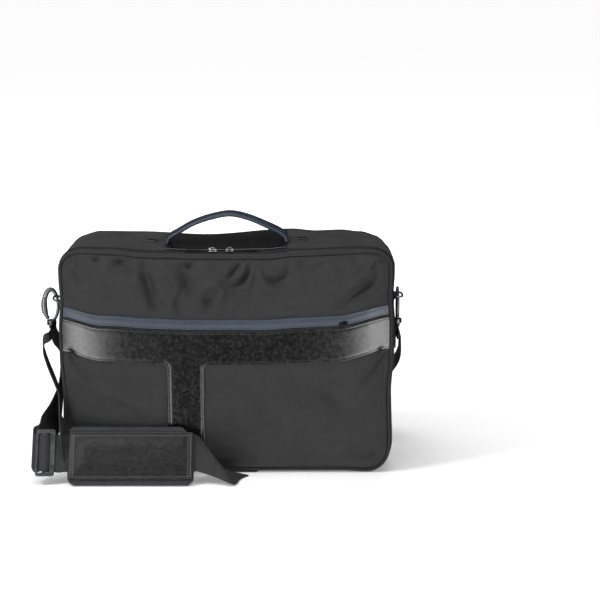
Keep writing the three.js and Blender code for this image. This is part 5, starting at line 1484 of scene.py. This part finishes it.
def hook_pieces(name, turned):
    origin = HOOKS[name]

    def carry(part):
        points, faces, _ = part
        points = np.asarray(points, float).reshape(-1, 3)
        if turned:
            points = np.stack([-points[:, 1], points[:, 0], points[:, 2]], -1)
        return points + origin, faces, None

    y_axis = (0, 1, 0)
    pivot_spot = oval(GATE_FOOT)
    turns = np.linspace(-68, nose_degrees(), 60)
    run = oval(turns)
    swell = profile([(20, HOOK_WIRE), (100, HOOK_BROAD)], turns)
    nose_facing = unit(run[-1] - pivot_spot)
    neck = np.array([
        run[0], run[0] * [0.8, 1, 1] + [0, 0, -1.2], [run[0][0] * 0.6, 0, BARREL_TOP - BARREL_LENGTH * 0.4]])
    r, top, low = BARREL_RADIUS, BARREL_TOP, BARREL_TOP - BARREL_LENGTH
    barrel = [
        (0, top), (r * 0.62, top - 0.05), (r * 0.86, top - 0.5), (r, top - 1.3),
        (r, top - 2.6), (r * 0.88, top - 3.0),
        (r * 0.88, top - 3.6), (r, top - 4.0), (r, low + 1.6),
        (r * 0.93, low + 0.6), (r * 0.72, low + 0.05), (0, low),
    ]
    parts = [
        tube_part(run, swell, 16, aside=y_axis, deep=HOOK_WIRE, ends=(None, nose_facing)),
        tube_part(catmull(neck, 6), HOOK_WIRE, 14, aside=y_axis), lathe_part(barrel, (0, 0, 0), sides=28),
    ]
    mesh = smooth_by_angle(mesh_from(f"snap_hook_{name}", [carry(p) for p in parts]), 50)
    new_object(f"snap_hook_{name}", mesh, GUNMETAL, replaces=[f"hook_{name}_body"])

    turns = np.linspace(GATE_TOP, GATE_FOOT, 30)
    lever, width = oval(turns), profile(GATE_HALF, turns)
    pivot_radius, half_long = GATE_WIRE * 0.9, GATE_WIRE
    pin = [
        (0, -half_long), (pivot_radius * 0.8, -half_long), (pivot_radius, -half_long + 0.4),
        (pivot_radius, half_long - 0.4), (pivot_radius * 0.8, half_long), (0, half_long)]
    top_facing = unit(lever[0] - pivot_spot)
    gate = [
        tube_part(lever, width, 16, aside=y_axis, deep=GATE_WIRE, ends=(top_facing, None)),
        lathe_part(pin, pivot_spot, axis=y_axis, sides=20),
    ]
    for degrees in (165, 175, 185.5, 196.5, 208):
        spot = oval(degrees) + [-float(profile(GATE_HALF, degrees)) + 0.25, 0, 0]
        rib = [(0, -1.95), (0.75, -1.9), (0.9, -1.6), (0.9, 1.6), (0.75, 1.9), (0, 1.95)]
        gate.append(lathe_part(rib, spot, axis=y_axis, sides=12))
    mesh = smooth_by_angle(mesh_from(f"snap_gate_{name}", [carry(p) for p in gate]), 50)
    new_object(
        f"snap_gate_{name}", mesh, GUNMETAL, body=f"{name}_gate", replaces=[f"hook_{name}_gate"])

    half = STRAP_WIDTH / 2 + BASE_WIRE + 2
    loop = []
    for corner, radius in (
            ((-half, BASE_BAR), 2.5), ((half, BASE_BAR), 2.5), ((half, BASE_TOP_BAR - 2), 2.0),
            ((half - 5, BASE_TOP_BAR), 3.0), ((-half + 5, BASE_TOP_BAR), 3.0),
            ((-half, BASE_TOP_BAR - 2), 2.0)):
        loop.append((np.array(corner, float), radius))
    path = []
    for k, (corner, radius) in enumerate(loop):
        before, after = unit(loop[k - 1][0] - corner), unit(loop[(k + 1) % len(loop)][0] - corner)
        for t in np.linspace(0, 1, 6):
            start, end = corner + before * radius, corner + after * radius
            path.append((1 - t) ** 2 * start + 2 * t * (1 - t) * corner + t**2 * end)
    path = np.array([(0, y, z) for y, z in path])
    r, top, low = SWIVEL_RADIUS, SWIVEL_TOP, SWIVEL_TOP - SWIVEL_LENGTH
    swivel = [
        (0, top), (r * 0.7, top), (r * 0.95, top - 0.5), (r, top - 1.4), (r * 0.8, top - 2.4),
        (r * 0.8, top - 3.2), (r, top - 4.0), (r, low + 0.8), (r * 0.7, low), (0, low)]
    base = [
        tube_part(path, BASE_WIRE, 16, closed=True, aside=(1, 0, 0)), lathe_part(swivel, (0, 0, 0), sides=24)]
    mesh = mesh_from(
        f"snap_base_{name}", [(np.asarray(p).reshape(-1, 3) + origin, f, None) for p, f, _ in base])
    new_object(
        f"snap_base_{name}", smooth_by_angle(mesh, 50),
        BLACK_METAL, replaces=[f"hook_{name}_base"])


hook_pieces("left", False)
hook_pieces("right", True)


# Zip sliders and pulls

def slider_piece(name, node, matrix, look, high):
    outline = [
        (-6, -2.2), (-4.6, -3.2), (-1.5, -4), (4.6, -4), (6, -3.0),
        (6, 3.0), (4.6, 4), (-1.5, 4), (-4.6, 3.2), (-6, 2.2)]
    deck = matrix @ Matrix.Translation((0, 0, 0.6))
    upper = matrix @ Matrix.Translation((0, 0, high - 0.75))
    inner = [(x * 0.93, y * 0.88) for x, y in outline]
    meshes = [
        plate_mesh(name + "_deck", [outline], 1.1, 0.3, deck),
        plate_mesh(name + "_crown", [inner], 1.3, 0.5, upper)]
    parts = []
    for mesh in meshes:
        points = np.array([v.co for v in mesh.vertices]) / MM - SHIFT
        parts.append((points, [list(p.vertices) for p in mesh.polygons], None))
    wedge = [(1.3, 0.4), (1.3, high - 0.9), (0, high - 0.9)]
    points, faces, _ = lathe_part(wedge, (3.2, 0, 0), sides=10)
    points = np.array([matrix @ Vector(p) for p in np.asarray(points).reshape(-1, 3)])
    parts.append((points, faces, None))
    spans = zip(np.linspace(-4.4, 3.4, 14), np.linspace(0.1, math.pi - 0.1, 14))
    arc = [(x, 0, high - 0.4 + 1.7 * math.sin(a)) for x, a in spans]
    points, faces, _ = tube_part(arc, 0.65, 10, aside=(0, 1, 0))
    points = np.array([matrix @ Vector(p) for p in points])
    parts.append((points, faces, None))
    mesh = smooth_by_angle(mesh_from(name, parts), 40)
    return new_object(name, mesh, look, replaces=[node])


SLIDER_HIGH, SLIDER_MIDDLE, SLIDER_SPREAD, SLIDER_LENGTH = 3.4, -6.0, 22.0, 12.0
PULL_LENGTH, PULL_WIDTH, PULL_THICKNESS = 31.0, 5.0, 1.4
zip_middle = (ZIP_FRONT + ZIP_BACK) / 2
seat = GAP + TAPE_WALL + GAP
for side_name, side in (("left", -1), ("right", 1)):
    slider_x = SLIDER_MIDDLE + side * SLIDER_SPREAD / 2
    spots = top_point(np.array([slider_x, slider_x - SLIDER_LENGTH / 2]), zip_middle, seat)
    origin = [slider_x, zip_middle, spots[:, 2].max()]
    facing = Matrix.Rotation(math.pi if side > 0 else 0, 4, "Z")
    slider_piece(
        f"zip_slider_{side_name}", f"main_zip_slider_{side_name}",
        Matrix.Translation(origin) @ facing, SILVER, SLIDER_HIGH)
    start_x = slider_x + side * (SLIDER_LENGTH / 2 + GAP)
    far_x = start_x + side * PULL_LENGTH
    near_spot, far_spot = top_point(np.array([start_x, far_x]), zip_middle, seat)
    slope = math.atan2(far_spot[2] - near_spot[2], PULL_LENGTH)
    direction = np.array([side * math.cos(slope), 0, math.sin(slope)])
    upward = np.array([-side * math.sin(slope), 0, math.cos(slope)])
    matrix = basis(
        direction, np.cross(upward, direction), upward, near_spot + upward * (PULL_THICKNESS / 2 + 0.25))
    half = PULL_WIDTH / 2
    outline = [
        (0.4, -half * 0.55), (4, -half * 0.62), (PULL_LENGTH - 7, -half),
        (PULL_LENGTH - 1.5, -half * 0.96), (PULL_LENGTH, -half * 0.4),
        (PULL_LENGTH, half * 0.4), (PULL_LENGTH - 1.5, half * 0.96), (PULL_LENGTH - 7, half),
        (4, half * 0.62), (0.4, half * 0.55),
    ]
    hole = rounded(2.6, 1.4, 0.6, (2.6, 0))[::-1]
    mesh = smooth_by_angle(plate_mesh(f"zip_pull_{side_name}", [outline, hole], PULL_THICKNESS, 0.35, matrix))
    new_object(f"zip_pull_{side_name}", mesh, BLACK_METAL, replaces=[f"main_zip_pull_{side_name}"])

FRONT_SLIDER_X = 153.0
spots = [
    front_points(
        np.array([FRONT_SLIDER_X + t * SLIDER_LENGTH]), np.array([ZIP_HIGH]), 2 * GAP + LEATHER_WALL)[0]
    for t in (-0.5, 0, 0.5)
]
slide_way = unit(spots[2] - spots[0])
slide_way = unit([slide_way[0], 0, slide_way[2]])
slide_up = np.cross([0, -1, 0], slide_way)
slide_origin = [spots[1][0], min(s[1] for s in spots) - GAP, spots[1][2]]
slider_piece(
    "front_slider", "front_zip_slider", basis(slide_way, slide_up, [0, -1, 0], slide_origin),
    BLACK_METAL, SLIDER_HIGH * 0.8)


# Studio

# Floor in metres, and its glow near and far and the distances between which it grows. The glow is painted
# light that whitens the floor far off; it is weaker near the object, which leaves a painted shade round it.
FLOOR_REACH, FLOOR_DROP = 30.0, 0.0002
FLOOR_GLOW, GLOW_RUN = (0.25, 0.88), (0.25, 1.7)
floor_mesh = bpy.data.meshes.new("studio_floor")
floor_corners = ((-1, -1), (1, -1), (1, 1), (-1, 1))
floor_mesh.from_pydata(
    [(x * FLOOR_REACH, y * FLOOR_REACH, -FLOOR_DROP) for x, y in floor_corners], [], [(0, 1, 2, 3)])
floor = bpy.data.objects.new("studio_floor", floor_mesh)
bpy.context.scene.collection.objects.link(floor)
floor_look = Look("floor_paper", Emission_Color=(1, 1, 1, 1), Specular_IOR_Level=0.1, Roughness=0.8)
floor_away = floor_look.node(
    "ShaderNodeVectorMath", (0, floor_look.place()), operation="LENGTH").outputs["Value"]
floor_mesh.materials.append(floor_look.set(
    Base_Color=floor_look.mix(
        floor_look.noise(floor_look.place(), 3.0), (0.84, 0.84, 0.84, 1), (0.86, 0.86, 0.86, 1)),
    Emission_Strength=floor_look.spread(floor_away, *GLOW_RUN, *FLOOR_GLOW)))
floor.visible_glossy = False


def soft_box(name, spot, target, width, height, power):
    light = bpy.data.lights.new(name, "AREA")
    light.shape = "RECTANGLE"
    light.size, light.size_y = width, height
    light.energy = power
    obj = bpy.data.objects.new(name, light)
    obj.location = spot
    obj.rotation_euler = (Vector(target) - Vector(spot)).to_track_quat("-Z", "Y").to_euler()
    bpy.context.scene.collection.objects.link(obj)


# Soft boxes in metres and watts: place, height aimed at, width, height and power
SOFT_BOXES = [
    ("top_box", (-0.15, -0.15, 2.0), 0.1, 1.6, 1.2, 25),
    ("left_box", (-1.9, -0.75, 1.0), 0.18, 0.6, 1.2, 11),
    ("key_box", (-1.1, -0.7, 1.5), 0.15, 0.35, 0.35, 15),
    ("back_box", (0.5, 1.9, 1.2), 0.15, 1.0, 1.0, 14),
    ("right_box", (1.9, -0.75, 0.9), 0.18, 0.6, 1.2, 5),
]
for box_name, box_spot, aim, box_width, box_height, watts in SOFT_BOXES:
    soft_box(box_name, box_spot, (0, 0, aim), box_width, box_height, watts)
# The back light shapes the edges and isn't seen in the gloss
bpy.data.objects["back_box"].visible_glossy = False

# Slants (sideways over forward) over which the pale walls fade in and out
LEFT_WALL = ((-0.24, -0.40), (-1.5, -0.7))
RIGHT_WALL = ((0.20, 0.34), (1.8, 0.9))
# Heights over which the walls lose most of their light, and how much of it
WALL_TOP, WALL_TOP_LOSS = (0.0, 0.3), 0.8
WALL_FORWARD, LEAST_FORWARD = (0.0, 0.25), 0.05
WALL_LEVELS = (8.0, 8.0)
# Share of the walls that glossy rays see over what all others see
WALLS_TO_GLOSS, WALLS_TO_ALL = 0.85, 0.15
SURROUND_LEVEL = 0.05


def studio_world():
    """Dim soft surround with a pale wall at each side of the front, and plain white behind the object."""
    world = bpy.data.worlds.new("studio")
    bpy.context.scene.world = world
    world.use_nodes = True
    tree = world.node_tree

    def node(kind, *inputs, **settings):
        made = tree.nodes.new(kind)
        for key, value in settings.items():
            setattr(made, key, value)
        for socket, value in inputs:
            if isinstance(value, bpy.types.NodeSocket):
                tree.links.new(value, made.inputs[socket])
            else:
                made.inputs[socket].default_value = value
        return made.outputs

    def rise(value, low, high):
        return node(
            "ShaderNodeMapRange", ("Value", value), ("From Min", low), ("From Max", high),
            interpolation_type="SMOOTHSTEP")["Result"]

    def maths(operation, first, second):
        return node("ShaderNodeMath", (0, first), (1, second), operation=operation)[0]

    way = node("ShaderNodeSeparateXYZ", (0, node("ShaderNodeTexCoord")["Generated"]))
    forward = maths("MULTIPLY", way[1], -1.0)
    slant = maths("DIVIDE", way[0], maths("MAXIMUM", forward, LEAST_FORWARD))
    left = maths("MULTIPLY", rise(slant, *LEFT_WALL[0]), rise(slant, *LEFT_WALL[1]))
    right = maths("MULTIPLY", rise(slant, *RIGHT_WALL[0]), rise(slant, *RIGHT_WALL[1]))
    walls = maths("ADD", maths("MULTIPLY", left, WALL_LEVELS[0]), maths("MULTIPLY", right, WALL_LEVELS[1]))
    walls = maths("MULTIPLY", walls, rise(forward, *WALL_FORWARD))
    lost = maths("MULTIPLY", rise(way[2], *WALL_TOP), WALL_TOP_LOSS)
    walls = maths("MULTIPLY", walls, maths("SUBTRACT", 1.0, lost))
    rays = node("ShaderNodeLightPath")
    seen = maths("ADD", maths("MULTIPLY", rays["Is Glossy Ray"], WALLS_TO_GLOSS), WALLS_TO_ALL)
    walls = maths("MULTIPLY", walls, seen)
    level = maths("ADD", walls, SURROUND_LEVEL)
    camera_ray = rays["Is Camera Ray"]
    shown = node(
        "ShaderNodeMix", ("Factor", camera_ray), ("A", level), ("B", 1.0), data_type="FLOAT")["Result"]
    tree.links.new(shown, tree.nodes["Background"].inputs["Strength"])
    tree.nodes["Background"].inputs["Color"].default_value = (1, 1, 1, 1)


studio_world()
bpy.context.scene.view_settings.view_transform = "Standard"

# Camera: the photograph's, 1715 pixels of focal length on a 600 pixel frame, tipped 13 degrees down
FOCAL_PIXELS, FRAME_PIXELS, SENSOR = 1715.0, 600.0, 36.0
CAMERA_SPOT, CAMERA_TIP = (96.5, -2227.0, 735.0), math.radians(13)
camera_data = bpy.data.cameras.new("camera")
camera_data.sensor_width = SENSOR
camera_data.lens = FOCAL_PIXELS / FRAME_PIXELS * SENSOR
camera = bpy.data.objects.new("camera", camera_data)
camera.location = to_world([CAMERA_SPOT])[0]
camera.rotation_euler = (math.pi / 2 - CAMERA_TIP, 0, 0)
bpy.context.scene.collection.objects.link(camera)
bpy.context.scene.camera = camera
